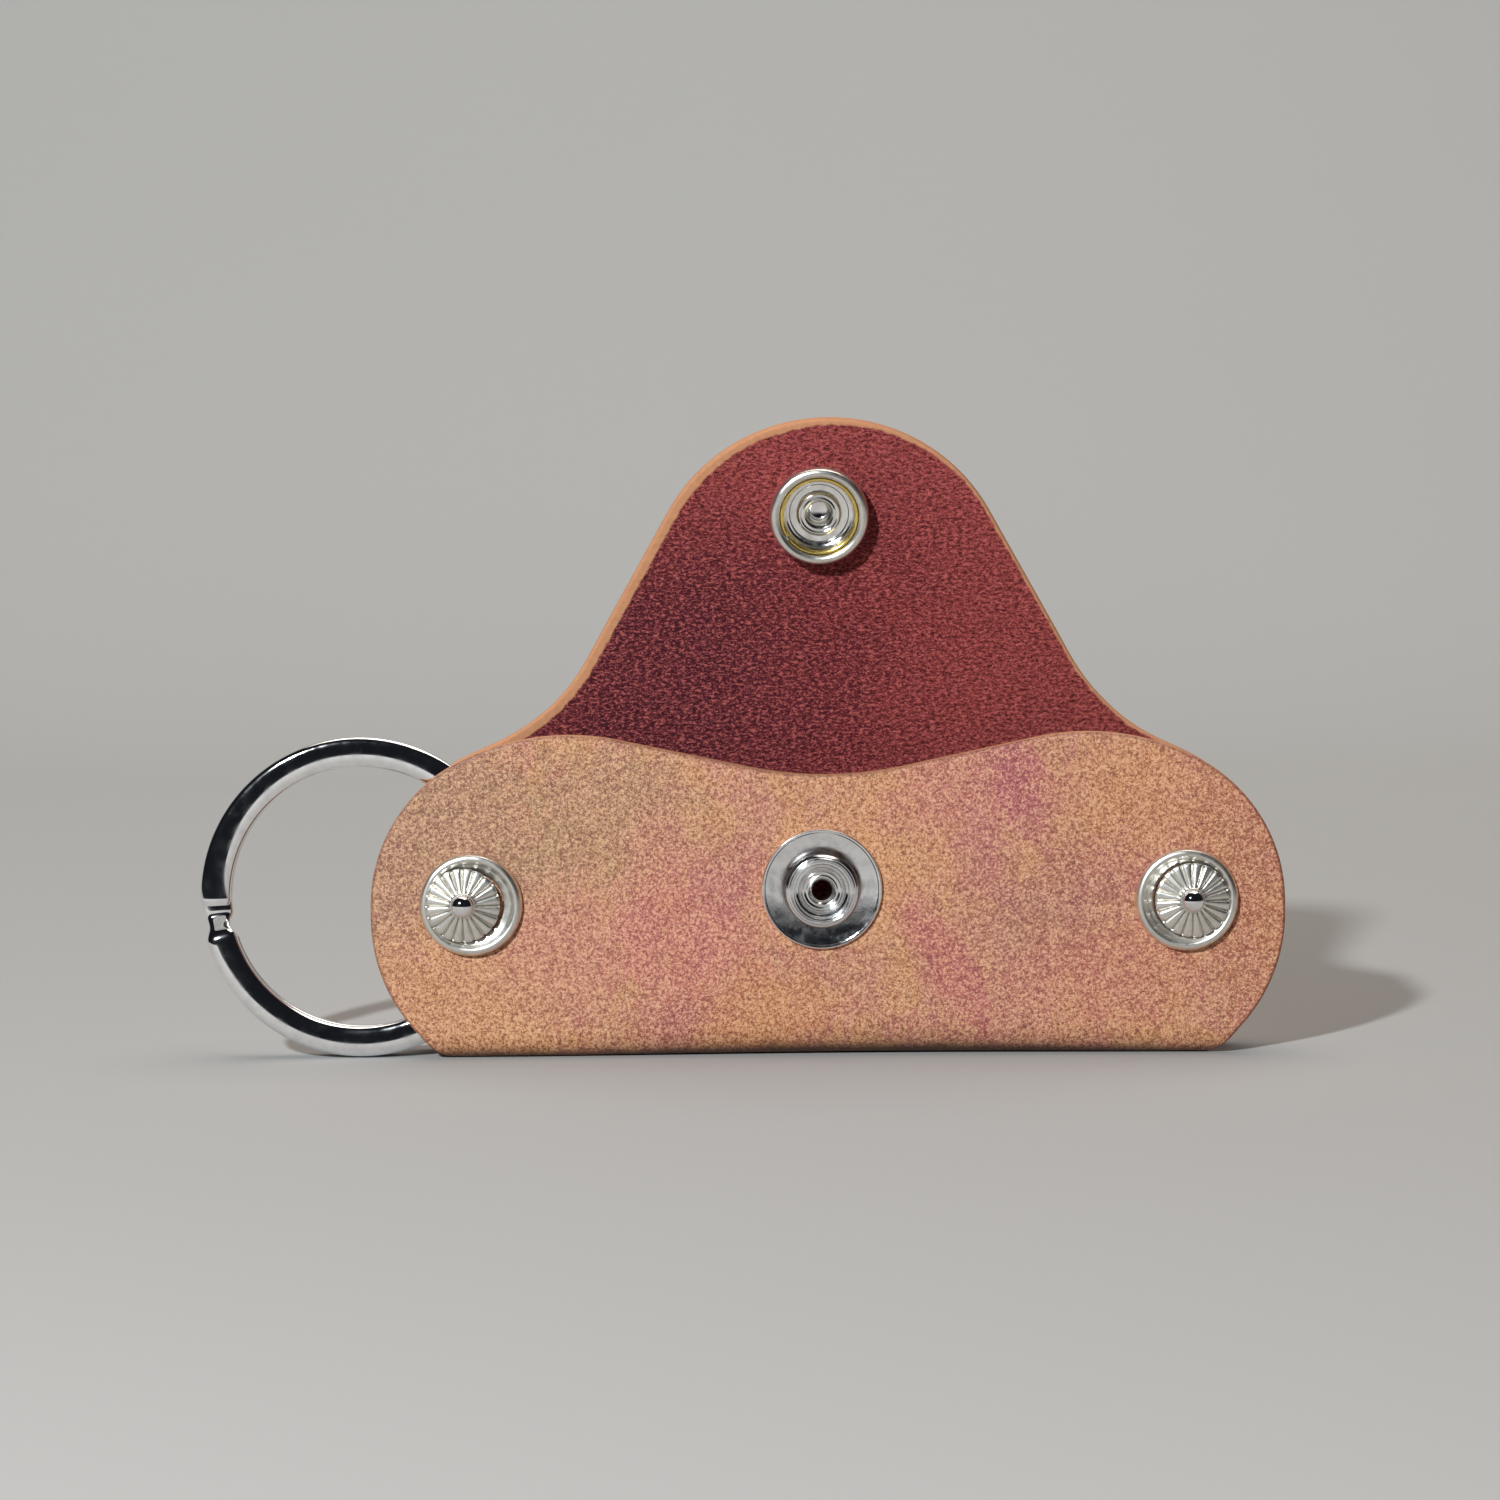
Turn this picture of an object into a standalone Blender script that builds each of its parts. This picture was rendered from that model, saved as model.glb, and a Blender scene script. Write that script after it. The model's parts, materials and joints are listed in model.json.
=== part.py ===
# Key holder: one folded leather sheet with a snap flap, two ornamental rivets and a split ring.
# Metres, +Z up. The front panel faces -Y, and the case stands on its fold.
# The case is drawn in its own frame, whose origin is under the middle of the pocket.

import math

import bmesh
import bpy
import numpy as np
from mathutils import Matrix, Vector

# Leather sheet
LEATHER = 0.0015
POCKET = 0.0048
FOLD_OUTER_RADIUS = 0.0024
EDGE_BEVEL = 0.00025
WAIST_INSET = 0.0076
WAIST_RADIUS = 0.001
LOBE_HALF = 0.0455
LOBE_FOOT_HEIGHT = 0.00566
LOBE_FOOT_RADIUS = 0.0167
LOBE_TOP_HEIGHT = 0.0256
LOBE_TOP_RADIUS = 0.0162
FRONT_PEAK_INSET = 0.0169
FRONT_PEAK_HEIGHT = 0.0335
FRONT_PEAK_RADIUS = 0.024
FRONT_DIP_HEIGHT = 0.0274
FRONT_DIP_RADIUS = 0.037
SHOULDER_HEIGHT = 0.0341
SHOULDER_RADIUS = 0.029
FLAP_TIP_HEIGHT = 0.0638
FLAP_TIP_RADIUS = 0.0187
FLAP_SIDE_DEGREES = 29
ARCH_RISE = 0.0008
ARCH_X = 0.004
ARCH_INSET = 0.0079
ARCH_CUTS = 12
FOLD_ROWS = 5
ARC_STEP_DEGREES = 8

# The bend between the back panel and the flap, cut into strips
BEND_STRIPS = 3
STRIP_GAP = 0.0003
CLOSED_DEGREES = 180
REST_LEAN_DEGREES = 10
CLOSED_GAP = 0.0031

# Clearances, the overrun of cuts, and the distance within which points are joined
SEAT = 0.0001
HOLE_CLEARANCE = 0.0001
CUT_OVERRUN = 0.001
JOIN_DISTANCE = 1e-8

# Snap: stud and eyelet on the front panel
SNAP_X = -0.0006
STUD_HEIGHT_ON_PANEL = 0.0169
STUD_FLANGE_RADIUS = 0.006
STUD_FLANGE_THICKNESS = 0.0004
STUD_FILLET_RADIUS = 0.0009
STUD_NECK_RADIUS = 0.0033
STUD_NECK_TOP = 0.00155
STUD_HEAD_RADIUS = 0.0037
STUD_HEAD_LEVEL = 0.00205
STUD_TOP = 0.0025
STUD_TOP_RADIUS = 0.00305
STUD_WELL_RADIUS = 0.0027
STUD_WELL_FOOT_RADIUS = 0.0023
STUD_FLOOR = 0.00095
EYELET_FLANGE_RADIUS = 0.0042
EYELET_FLANGE_THICKNESS = 0.0003
EYELET_TUBE_RADIUS = 0.0016
EYELET_BORE_RADIUS = 0.001
EYELET_ROLL_RADIUS = 0.00215
EYELET_ROLL_HEIGHT = 0.00055

# Snap: socket, spring, cap and cap post on the flap
SOCKET_BELOW_TIP = 0.0094
RIM_RADIUS = 0.00495
RIM_HEIGHT = 0.0023
RIM_SHEET = 0.0003
RIM_LIP_RADIUS = 0.00385
CUP_SHEET = 0.00025
CUP_FLOOR_RADIUS = 0.0031
CUP_WALL_RADIUS = 0.0039
CUP_FLANGE_RADIUS = 0.0044
CUP_HEIGHT = 0.0012
SPRING_WIRE_RADIUS = 0.00026
SPRING_INNER_RADIUS = 0.00347
SPRING_GAP_DEGREES = 26
SPRING_GAP_AT_DEGREES = 225
SPRING_STEPS = 30
SPRING_SIDES = 8
CAP_RADIUS = 0.0062
CAP_HEIGHT = 0.0026
CAP_SHEET = 0.0004
CAP_POST_FLANGE_RADIUS = 0.004
CAP_POST_FLANGE_THICKNESS = 0.0003
CAP_POST_TUBE_RADIUS = 0.0017
CAP_POST_BORE_RADIUS = 0.0012
CAP_POST_ROLL_RADIUS = 0.0022
CAP_POST_ROLL_HEIGHT = 0.0005

# Ornamental rivets
RIVET_INSET = 0.00975
RIVET_HEIGHT_ON_PANEL = 0.0156
LEFT_WASHER_SLIP = 0.0006
RIGHT_WASHER_SLIP = -0.0002
WASHER_RADIUS = 0.0052
WASHER_HOLE_RADIUS = 0.0033
WASHER_HEIGHT = 0.001
SUNBURST_RADIUS = 0.00385
SUNBURST_RIM_THICKNESS = 0.0003
SUNBURST_RISE = 0.0003
SUNBURST_LAND_RADIUS = 0.0013
SUNBURST_FLUTES = 20
SUNBURST_FLUTE_DEPTH = 0.00016
SUNBURST_SCALLOP = 0.00018
PIN_HEAD_RADIUS = 0.00115
PIN_SHANK_RADIUS = 0.0008
PIN_BORE_CLEARANCE = 0.00015
PIN_LENGTH_IN_POST = 0.0075
POST_HEAD_RADIUS = 0.0045
POST_HEAD_HEIGHT = 0.0012
POST_RADIUS = 0.00165
POST_SPIGOT_RADIUS = 0.0014

# Split ring
RING_RADIUS = 0.016
RING_WIRE_WIDTH = 0.003
RING_WIRE_THICKNESS = 0.0016
RING_COIL_GAP = 0.00045
RING_POST_SLACK = 0.0004
RING_PINCH = 0.0007
RING_END_DEGREES = 183
RING_JOG_DEGREES = 13
RING_STEP_DEGREES = 10
RING_JOG_STEPS = 6
RING_SIDES = 12
RING_SQUARENESS = 2.6

# Segments of turned pieces
WIDE_SEGMENTS = 36
NARROW_SEGMENTS = 24

# Sizes that follow from the ones above
FACE = POCKET / 2 + LEATHER
WAIST_HALF = LOBE_HALF - WAIST_INSET
FRONT_PEAK_X = LOBE_HALF - FRONT_PEAK_INSET
ARCH_HALF = WAIST_HALF - ARCH_INSET
RIVET_X = LOBE_HALF - RIVET_INSET
SOCKET_HEIGHT_ON_FLAP = FLAP_TIP_HEIGHT - SOCKET_BELOW_TIP
FOLD_INNER_RADIUS = FOLD_OUTER_RADIUS - LEATHER
FOLD_MID_RADIUS = FOLD_OUTER_RADIUS - LEATHER / 2
FOLD_FLAT_HALF = POCKET / 2 - FOLD_INNER_RADIUS
FOLD_ARC = FOLD_MID_RADIUS * math.pi / 2
FOLD_TAKE_UP = FOLD_FLAT_HALF + FOLD_ARC - FOLD_OUTER_RADIUS
HINGES = BEND_STRIPS + 1
HINGE_TURN = math.radians(CLOSED_DEGREES) / HINGES
HINGE_LEAN = math.radians(REST_LEAN_DEGREES) / HINGES
CLOSING_TRAVEL = POCKET + LEATHER + CLOSED_GAP
STRIP_LENGTH = CLOSING_TRAVEL / sum(math.sin(HINGE_TURN * turn) for turn in range(1, HINGES))
BEND_LENGTH = STRIP_LENGTH * BEND_STRIPS
BEND_FOOT = (SOCKET_HEIGHT_ON_FLAP + STUD_HEIGHT_ON_PANEL - BEND_LENGTH) / 2
BEND_TOP = BEND_FOOT + BEND_LENGTH
SOCKET_ABOVE_BEND = SOCKET_HEIGHT_ON_FLAP - BEND_TOP
SUNBURST_UNDERSIDE = SEAT + WASHER_HEIGHT + SEAT
SUNBURST_TOP = SUNBURST_UNDERSIDE + SUNBURST_RIM_THICKNESS + SUNBURST_RISE
PIN_SEAT = SUNBURST_TOP + SEAT
POST_REACH = FACE + SEAT + POST_HEAD_HEIGHT
RING_CENTRE_X = POST_RADIUS + RING_POST_SLACK - (RING_RADIUS - RING_WIRE_WIDTH)
RING_CENTRE_Z = RING_RADIUS - RIVET_HEIGHT_ON_PANEL
RING_COIL_Y = (RING_WIRE_THICKNESS + RING_COIL_GAP) / 2
CASE_X = (RIVET_X - RING_CENTRE_X + RING_RADIUS - LOBE_HALF) / 2
CASE_Y = (FACE + PIN_SEAT + PIN_HEAD_RADIUS - POST_REACH) / 2


# Scene, materials and shared helpers


def clear_scene():
    for obj in list(bpy.data.objects):
        bpy.data.objects.remove(obj)


def principled(name, colour, roughness, metallic):
    material = bpy.data.materials.new(name)
    material.use_nodes = True
    shader = material.node_tree.nodes["Principled BSDF"]
    shader.inputs["Base Color"].default_value = (*colour, 1)
    shader.inputs["Roughness"].default_value = roughness
    shader.inputs["Metallic"].default_value = metallic
    material.diffuse_color = (*colour, 1)
    return material


def empty(name, parent=None, location=(0, 0, 0), lean=0.0):
    obj = bpy.data.objects.new(name, None)
    return placed(obj, parent, location, lean)


def placed(obj, parent, location, lean=0.0):
    bpy.context.scene.collection.objects.link(obj)
    obj.parent = parent
    obj.location = location
    obj.rotation_euler.x = lean
    return obj


def object_from(bm, name, material, parent, location=(0, 0, 0), lean=0.0):
    bmesh.ops.recalc_face_normals(bm, faces=bm.faces)
    mesh = bpy.data.meshes.new(name)
    bm.to_mesh(mesh)
    bm.free()
    if material:
        mesh.materials.append(material)
    return placed(bpy.data.objects.new(name, mesh), parent, location, lean)


def arc(centre_r, centre_h, radius_r, radius_h, start, end, steps):
    """Points of an elliptic arc in a profile, its angles in degrees from the outward direction."""
    angles = [math.radians(start + (end - start) * step / steps) for step in range(steps + 1)]
    return [(centre_r + radius_r * math.cos(a), centre_h + radius_h * math.sin(a)) for a in angles]


def turned(name, profile, segments, material, parent, location, lean):
    """A piece turned about its local Z axis from (radius, height) points. The profile is a closed
    loop round a bore, or runs from the axis back to the axis."""
    bm = bmesh.new()
    points = [bm.verts.new((max(radius, 0), 0, height)) for radius, height in profile]
    edges = [bm.edges.new(pair) for pair in zip(points, points[1:])]
    if profile[0][0] > 0:
        edges.append(bm.edges.new((points[-1], points[0])))
    bmesh.ops.spin(
        bm, geom=points + edges, cent=(0, 0, 0), axis=(0, 0, 1), angle=math.tau, steps=segments, use_merge=True
    )
    bmesh.ops.remove_doubles(bm, verts=bm.verts, dist=JOIN_DISTANCE)
    return object_from(bm, name, material, parent, location, lean)


def looped(name, loops, closed, material, parent, location, lean=0.0):
    """A body skinned over loops of points. A closed row of loops joins its last loop to its first,
    and an open one gets an end cap at each side."""
    bm = bmesh.new()
    rows = [[bm.verts.new(point) for point in loop] for loop in loops]
    size = len(rows[0])
    pairs = list(zip(rows, rows[1:] + rows[:1])) if closed else list(zip(rows, rows[1:]))
    for low, high in pairs:
        for i in range(size):
            j = (i + 1) % size
            bm.faces.new((low[i], low[j], high[j], high[i]))
    if not closed:
        bm.faces.new(rows[0])
        bm.faces.new(rows[-1])
    return object_from(bm, name, material, parent, location, lean)


# Leather


def pattern_corners():
    """Corners (x, distance along the sheet, radius) of the flat sheet, from the dip in the front
    panel's edge round the right side to the flap's tip, then back down the left side."""
    side = math.radians(FLAP_SIDE_DEGREES)
    apex = FLAP_TIP_HEIGHT + FLAP_TIP_RADIUS * (1 / math.sin(side) - 1)
    shoulder_x = (apex - SHOULDER_HEIGHT) * math.tan(side)
    right = [
        (0, -(FRONT_DIP_HEIGHT + FOLD_TAKE_UP), FRONT_DIP_RADIUS),
        (FRONT_PEAK_X, -(FRONT_PEAK_HEIGHT + FOLD_TAKE_UP), FRONT_PEAK_RADIUS),
        (LOBE_HALF, -(LOBE_TOP_HEIGHT + FOLD_TAKE_UP), LOBE_TOP_RADIUS),
        (LOBE_HALF, -(LOBE_FOOT_HEIGHT + FOLD_TAKE_UP), LOBE_FOOT_RADIUS),
        (WAIST_HALF, -FOLD_TAKE_UP, WAIST_RADIUS),
        (WAIST_HALF, FOLD_TAKE_UP, WAIST_RADIUS),
        (LOBE_HALF, LOBE_FOOT_HEIGHT + FOLD_TAKE_UP, LOBE_FOOT_RADIUS),
        (LOBE_HALF, LOBE_TOP_HEIGHT + FOLD_TAKE_UP, LOBE_TOP_RADIUS),
        (shoulder_x, SHOULDER_HEIGHT + FOLD_TAKE_UP, SHOULDER_RADIUS),
        (0, apex + FOLD_TAKE_UP, FLAP_TIP_RADIUS),
    ]
    left = [(-x, along, radius) for x, along, radius in reversed(right[1:-1])]
    return right + left


def rounded(corners):
    """Points of a closed outline whose corners are turned into arcs that fit their sides. Where two
    arcs meet, the point that they share is kept once."""
    places = [Vector(corner[:2]) for corner in corners]
    count = len(places)
    sides = [places[(i + 1) % count] - places[i] for i in range(count)]
    turns = []
    for i in range(count):
        before, after = sides[i - 1], sides[i]
        turns.append(math.atan2(before.cross(after), before.dot(after)))
    tangents = [corners[i][2] * math.tan(abs(turns[i]) / 2) for i in range(count)]
    points = []
    for i in range(count):
        room_before = sides[i - 1].length / (tangents[i - 1] + tangents[i])
        room_after = sides[i].length / (tangents[i] + tangents[(i + 1) % count])
        fit = min(1, room_before, room_after)
        start = places[i] - sides[i - 1].normalized() * tangents[i] * fit
        normal = sides[i - 1].normalized().orthogonal() * math.copysign(1, turns[i])
        centre = start + normal * corners[i][2] * fit
        steps = max(2, math.ceil(abs(turns[i]) / math.radians(ARC_STEP_DEGREES)))
        for step in range(steps + 1):
            swing = Matrix.Rotation(turns[i] * step / steps, 2)
            point = centre + swing @ (start - centre)
            if not points or (point - points[-1]).length > EDGE_BEVEL / 4:
                points.append(point)
    return points


def sheet_between(low, high):
    """The flat sheet from one distance along it to another: x, depth from the inner face, distance."""
    bm = bmesh.new()
    outline = [bm.verts.new((point.x, 0, point.y)) for point in rounded(pattern_corners())]
    face = bm.faces.new(outline)
    raised = bmesh.ops.extrude_face_region(bm, geom=[face])["geom"]
    raised_points = [item for item in raised if isinstance(item, bmesh.types.BMVert)]
    bmesh.ops.translate(bm, verts=raised_points, vec=(0, LEATHER, 0))
    rims = [edge for edge in bm.edges if edge.verts[0].co.y == edge.verts[1].co.y]
    bmesh.ops.bevel(bm, geom=rims, offset=EDGE_BEVEL, segments=1, affect="EDGES")
    if low is not None:
        cut_away(bm, low, False)
    if high is not None:
        cut_away(bm, high, True)
    return bm


def everything(bm):
    return list(bm.verts) + list(bm.edges) + list(bm.faces)


def cut_away(bm, along, above):
    """Cut the sheet square at a distance along it and close the cut."""
    cut = bmesh.ops.bisect_plane(
        bm,
        geom=everything(bm),
        dist=JOIN_DISTANCE,
        plane_co=(0, 0, along),
        plane_no=(0, 0, 1),
        clear_outer=above,
        clear_inner=not above,
    )
    edges = [item for item in cut["geom_cut"] if isinstance(item, bmesh.types.BMEdge)]
    bmesh.ops.contextual_create(bm, geom=edges)


def add_fold_lines(bm):
    """Rows of edges across the two fold corners, and short cuts along the fold for its arch."""
    rows = [FOLD_FLAT_HALF + FOLD_ARC * row / FOLD_ROWS for row in range(FOLD_ROWS + 1)]
    for along in [-row for row in rows] + rows:
        bmesh.ops.bisect_plane(
            bm, geom=everything(bm), dist=JOIN_DISTANCE, plane_co=(0, 0, along), plane_no=(0, 0, 1)
        )
    for cut in range(ARCH_CUTS + 1):
        x = ARCH_X + ARCH_HALF * (2 * cut / ARCH_CUTS - 1)
        faces = [face for face in bm.faces if all(in_fold(vert.co.z) for vert in face.verts)]
        edges = {edge for face in faces for edge in face.edges}
        verts = {vert for face in faces for vert in face.verts}
        bmesh.ops.bisect_plane(
            bm, geom=list(verts) + list(edges) + faces, dist=JOIN_DISTANCE, plane_co=(x, 0, 0), plane_no=(1, 0, 0)
        )


def in_fold(along):
    return abs(along) <= (FOLD_FLAT_HALF + FOLD_ARC) * (1 + 1e-6)


def arch(x):
    """Rise of the fold's middle above what the case stands on."""
    share = min(1, abs(x - ARCH_X) / ARCH_HALF)
    return ARCH_RISE * (1 - share**2) ** 2


def folded(x, depth, along):
    """Where a point of the flat sheet lies once the sheet is folded round the pocket."""
    side = math.copysign(1, along)
    distance = abs(along)
    if distance <= FOLD_FLAT_HALF:
        return Vector((x, along, LEATHER - depth + arch(x)))
    if in_fold(along):
        turn = (distance - FOLD_FLAT_HALF) / FOLD_MID_RADIUS
        radius = FOLD_INNER_RADIUS + depth
        y = FOLD_FLAT_HALF + radius * math.sin(turn)
        return Vector((x, side * y, FOLD_OUTER_RADIUS - radius * math.cos(turn) + arch(x)))
    return Vector((x, side * (POCKET / 2 + depth), distance - FOLD_TAKE_UP))


def leather_case(material, frame):
    bm = sheet_between(None, FOLD_TAKE_UP + BEND_FOOT - STRIP_GAP / 2)
    add_fold_lines(bm)
    for vert in bm.verts:
        vert.co = folded(*vert.co)
    case = object_from(bm, "leather_case", material, frame)
    front, back = -(POCKET + LEATHER) / 2, (POCKET + LEATHER) / 2
    holes = [(SNAP_X, front, STUD_HEIGHT_ON_PANEL, EYELET_TUBE_RADIUS + HOLE_CLEARANCE)]
    for x in (-RIVET_X, RIVET_X):
        holes.append((x, front, RIVET_HEIGHT_ON_PANEL, POST_SPIGOT_RADIUS + HOLE_CLEARANCE))
        holes.append((x, back, RIVET_HEIGHT_ON_PANEL, POST_RADIUS + HOLE_CLEARANCE))
    punch(case, "case_hole_cutter", holes)
    return case


def punch(sheet, name, holes):
    """Cut round holes through the sheet, each (x, y, z, radius) in the sheet's own frame."""
    bm = bmesh.new()
    for x, y, z, radius in holes:
        place = Matrix.Translation((x, y, z)) @ Matrix.Rotation(math.pi / 2, 4, "X")
        bmesh.ops.create_cone(
            bm,
            cap_ends=True,
            segments=NARROW_SEGMENTS,
            radius1=radius,
            radius2=radius,
            depth=LEATHER + 2 * CUT_OVERRUN,
            matrix=place,
        )
    cutter = object_from(bm, name, None, sheet)
    cutter.hide_render = True
    cutter.display_type = "WIRE"
    cut = sheet.modifiers.new("holes", "BOOLEAN")
    cut.operation = "DIFFERENCE"
    cut.solver = "EXACT"
    cut.object = cutter


def flap_chain(material, frame):
    """The strips of the bend and the flap, each turning about the pivot under it on the inner face."""
    parent = frame
    place = (0, POCKET / 2, BEND_FOOT)
    names = ["flap_bend_low", "flap_bend_mid", "flap_bend_high", "flap"]
    for index, name in enumerate(names):
        pivot = FOLD_TAKE_UP + BEND_FOOT + STRIP_LENGTH * index
        high = None if name == "flap" else pivot + STRIP_LENGTH - STRIP_GAP / 2
        bm = sheet_between(pivot + STRIP_GAP / 2, high)
        bmesh.ops.translate(bm, verts=bm.verts, vec=(0, 0, -pivot))
        parent = object_from(bm, name, material, parent, place, HINGE_LEAN)
        place = (0, 0, STRIP_LENGTH)
    hole = (SNAP_X, LEATHER / 2, SOCKET_ABOVE_BEND, CAP_POST_TUBE_RADIUS + HOLE_CLEARANCE)
    punch(parent, "flap_hole_cutter", [hole])
    return parent


# Snap


def stud_profile():
    flange_top = SEAT + STUD_FLANGE_THICKNESS
    lip = STUD_FLANGE_THICKNESS / 2
    fillet = arc(
        STUD_NECK_RADIUS + STUD_FILLET_RADIUS,
        flange_top + STUD_FILLET_RADIUS,
        STUD_FILLET_RADIUS,
        STUD_FILLET_RADIUS,
        270,
        180,
        4,
    )
    head = arc(
        STUD_TOP_RADIUS,
        STUD_HEAD_LEVEL,
        STUD_HEAD_RADIUS - STUD_TOP_RADIUS,
        STUD_TOP - STUD_HEAD_LEVEL,
        0,
        90,
        4,
    )
    bore = EYELET_TUBE_RADIUS + HOLE_CLEARANCE
    return [
        (bore, SEAT),
        (STUD_FLANGE_RADIUS, SEAT),
        (STUD_FLANGE_RADIUS, SEAT + lip),
        (STUD_FLANGE_RADIUS - lip, flange_top),
        *fillet,
        (STUD_NECK_RADIUS, STUD_NECK_TOP),
        *head,
        (STUD_WELL_RADIUS, STUD_TOP - lip / 2),
        (STUD_WELL_FOOT_RADIUS, STUD_FLOOR),
        (bore, STUD_FLOOR),
    ]


def eyelet_profile():
    inner_face = -LEATHER - SEAT
    foot = STUD_FLOOR + SEAT
    middle = (EYELET_BORE_RADIUS + EYELET_ROLL_RADIUS) / 2
    half = (EYELET_ROLL_RADIUS - EYELET_BORE_RADIUS) / 2
    roll = arc(middle, foot, half, EYELET_ROLL_HEIGHT, 0, 180, 6)
    return [
        (EYELET_BORE_RADIUS, inner_face - EYELET_FLANGE_THICKNESS),
        (EYELET_FLANGE_RADIUS, inner_face - EYELET_FLANGE_THICKNESS),
        (EYELET_FLANGE_RADIUS, inner_face),
        (EYELET_TUBE_RADIUS, inner_face),
        (EYELET_TUBE_RADIUS, foot),
        *roll,
    ]


def rim_profile():
    """The socket's outer shell, rolled inwards over the spring."""
    inner = RIM_RADIUS - RIM_SHEET
    crest = (RIM_RADIUS + RIM_LIP_RADIUS) / 2
    half = (RIM_RADIUS - RIM_LIP_RADIUS) / 2
    shoulder = RIM_HEIGHT - half
    top = SEAT + RIM_HEIGHT
    roll = arc(crest, SEAT + shoulder, half, half, 0, 150, 6)
    return [
        (inner, SEAT),
        (RIM_RADIUS, SEAT),
        *roll,
        (RIM_LIP_RADIUS, top - RIM_SHEET),
        (inner, top - RIM_SHEET),
    ]


def cup_profile():
    """The socket's inner plate: a floor, a flared wall and a flange under the spring."""
    floor = SEAT + CUP_SHEET
    top = SEAT + CUP_HEIGHT
    bore = CAP_POST_TUBE_RADIUS + HOLE_CLEARANCE
    knee_radius = (CUP_FLOOR_RADIUS + CUP_WALL_RADIUS) / 2
    knee = floor + CUP_SHEET
    return [
        (bore, SEAT),
        (CUP_FLOOR_RADIUS + CUP_SHEET / 2, SEAT),
        (knee_radius + CUP_SHEET, knee - CUP_SHEET),
        (CUP_WALL_RADIUS + CUP_SHEET, top - 2 * CUP_SHEET),
        (CUP_FLANGE_RADIUS, top - CUP_SHEET),
        (CUP_FLANGE_RADIUS, top),
        (CUP_WALL_RADIUS + CUP_SHEET / 2, top),
        (CUP_WALL_RADIUS, top - CUP_SHEET),
        (knee_radius, knee),
        (CUP_FLOOR_RADIUS, floor),
        (bore, floor),
    ]


def cap_post_profile():
    """The post's flange lies under the cap, and its end is rolled over the cup's floor."""
    outer_face = -LEATHER - SEAT
    foot = SEAT + CUP_SHEET + SEAT
    middle = (CAP_POST_BORE_RADIUS + CAP_POST_ROLL_RADIUS) / 2
    half = (CAP_POST_ROLL_RADIUS - CAP_POST_BORE_RADIUS) / 2
    roll = arc(middle, foot, half, CAP_POST_ROLL_HEIGHT, 0, 180, 6)
    return [
        (0, outer_face - CAP_POST_FLANGE_THICKNESS),
        (CAP_POST_FLANGE_RADIUS, outer_face - CAP_POST_FLANGE_THICKNESS),
        (CAP_POST_FLANGE_RADIUS, outer_face),
        (CAP_POST_TUBE_RADIUS, outer_face),
        (CAP_POST_TUBE_RADIUS, foot),
        *roll,
        (CAP_POST_BORE_RADIUS, outer_face),
        (0, outer_face),
    ]


def cap_profile():
    outside = arc(0, SEAT, CAP_RADIUS, CAP_HEIGHT, 0, 90, 8)
    inside = arc(0, SEAT, CAP_RADIUS - CAP_SHEET, CAP_HEIGHT - CAP_SHEET, 90, 0, 6)
    return [(0, SEAT + CAP_HEIGHT), *reversed(outside[:-1]), *reversed(inside[1:]), (0, inside[0][1])]


def spring_loops():
    """An open ring of round wire between the cup's flange and the rim's lip."""
    level = SEAT + CUP_HEIGHT + SEAT + SPRING_WIRE_RADIUS
    centre = SPRING_INNER_RADIUS + SPRING_WIRE_RADIUS
    start = math.radians(SPRING_GAP_AT_DEGREES + SPRING_GAP_DEGREES / 2)
    sweep = math.radians(360 - SPRING_GAP_DEGREES)
    loops = []
    for step in range(SPRING_STEPS + 1):
        turn = start + sweep * step / SPRING_STEPS
        wire = arc(centre, level, SPRING_WIRE_RADIUS, SPRING_WIRE_RADIUS, 0, 360, SPRING_SIDES)[:-1]
        loops.append([(r * math.cos(turn), r * math.sin(turn), h) for r, h in wire])
    return loops


def snap(materials, frame, flap):
    steel, brass = materials["satin_nickel"], materials["brass"]
    front = {"parent": frame, "location": (SNAP_X, -FACE, STUD_HEIGHT_ON_PANEL), "lean": math.pi / 2}
    inner = {"parent": flap, "location": (SNAP_X, 0, SOCKET_ABOVE_BEND), "lean": math.pi / 2}
    outer = {"parent": flap, "location": (SNAP_X, LEATHER, SOCKET_ABOVE_BEND), "lean": -math.pi / 2}
    turned("snap_stud", stud_profile(), WIDE_SEGMENTS, steel, **front)
    turned("snap_eyelet", eyelet_profile(), NARROW_SEGMENTS, steel, **front)
    turned("snap_socket_rim", rim_profile(), WIDE_SEGMENTS, steel, **inner)
    turned("snap_socket_cup", cup_profile(), WIDE_SEGMENTS, steel, **inner)
    turned("snap_cap_post", cap_post_profile(), NARROW_SEGMENTS, steel, **inner)
    turned("snap_cap", cap_profile(), WIDE_SEGMENTS, steel, **outer)
    looped("snap_spring", spring_loops(), False, brass, **inner)


# Ornamental rivets


def washer_profile():
    middle = (WASHER_RADIUS + WASHER_HOLE_RADIUS) / 2
    half = (WASHER_RADIUS - WASHER_HOLE_RADIUS) / 2
    return arc(middle, SEAT, half, WASHER_HEIGHT, 0, 180, 8)


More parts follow.
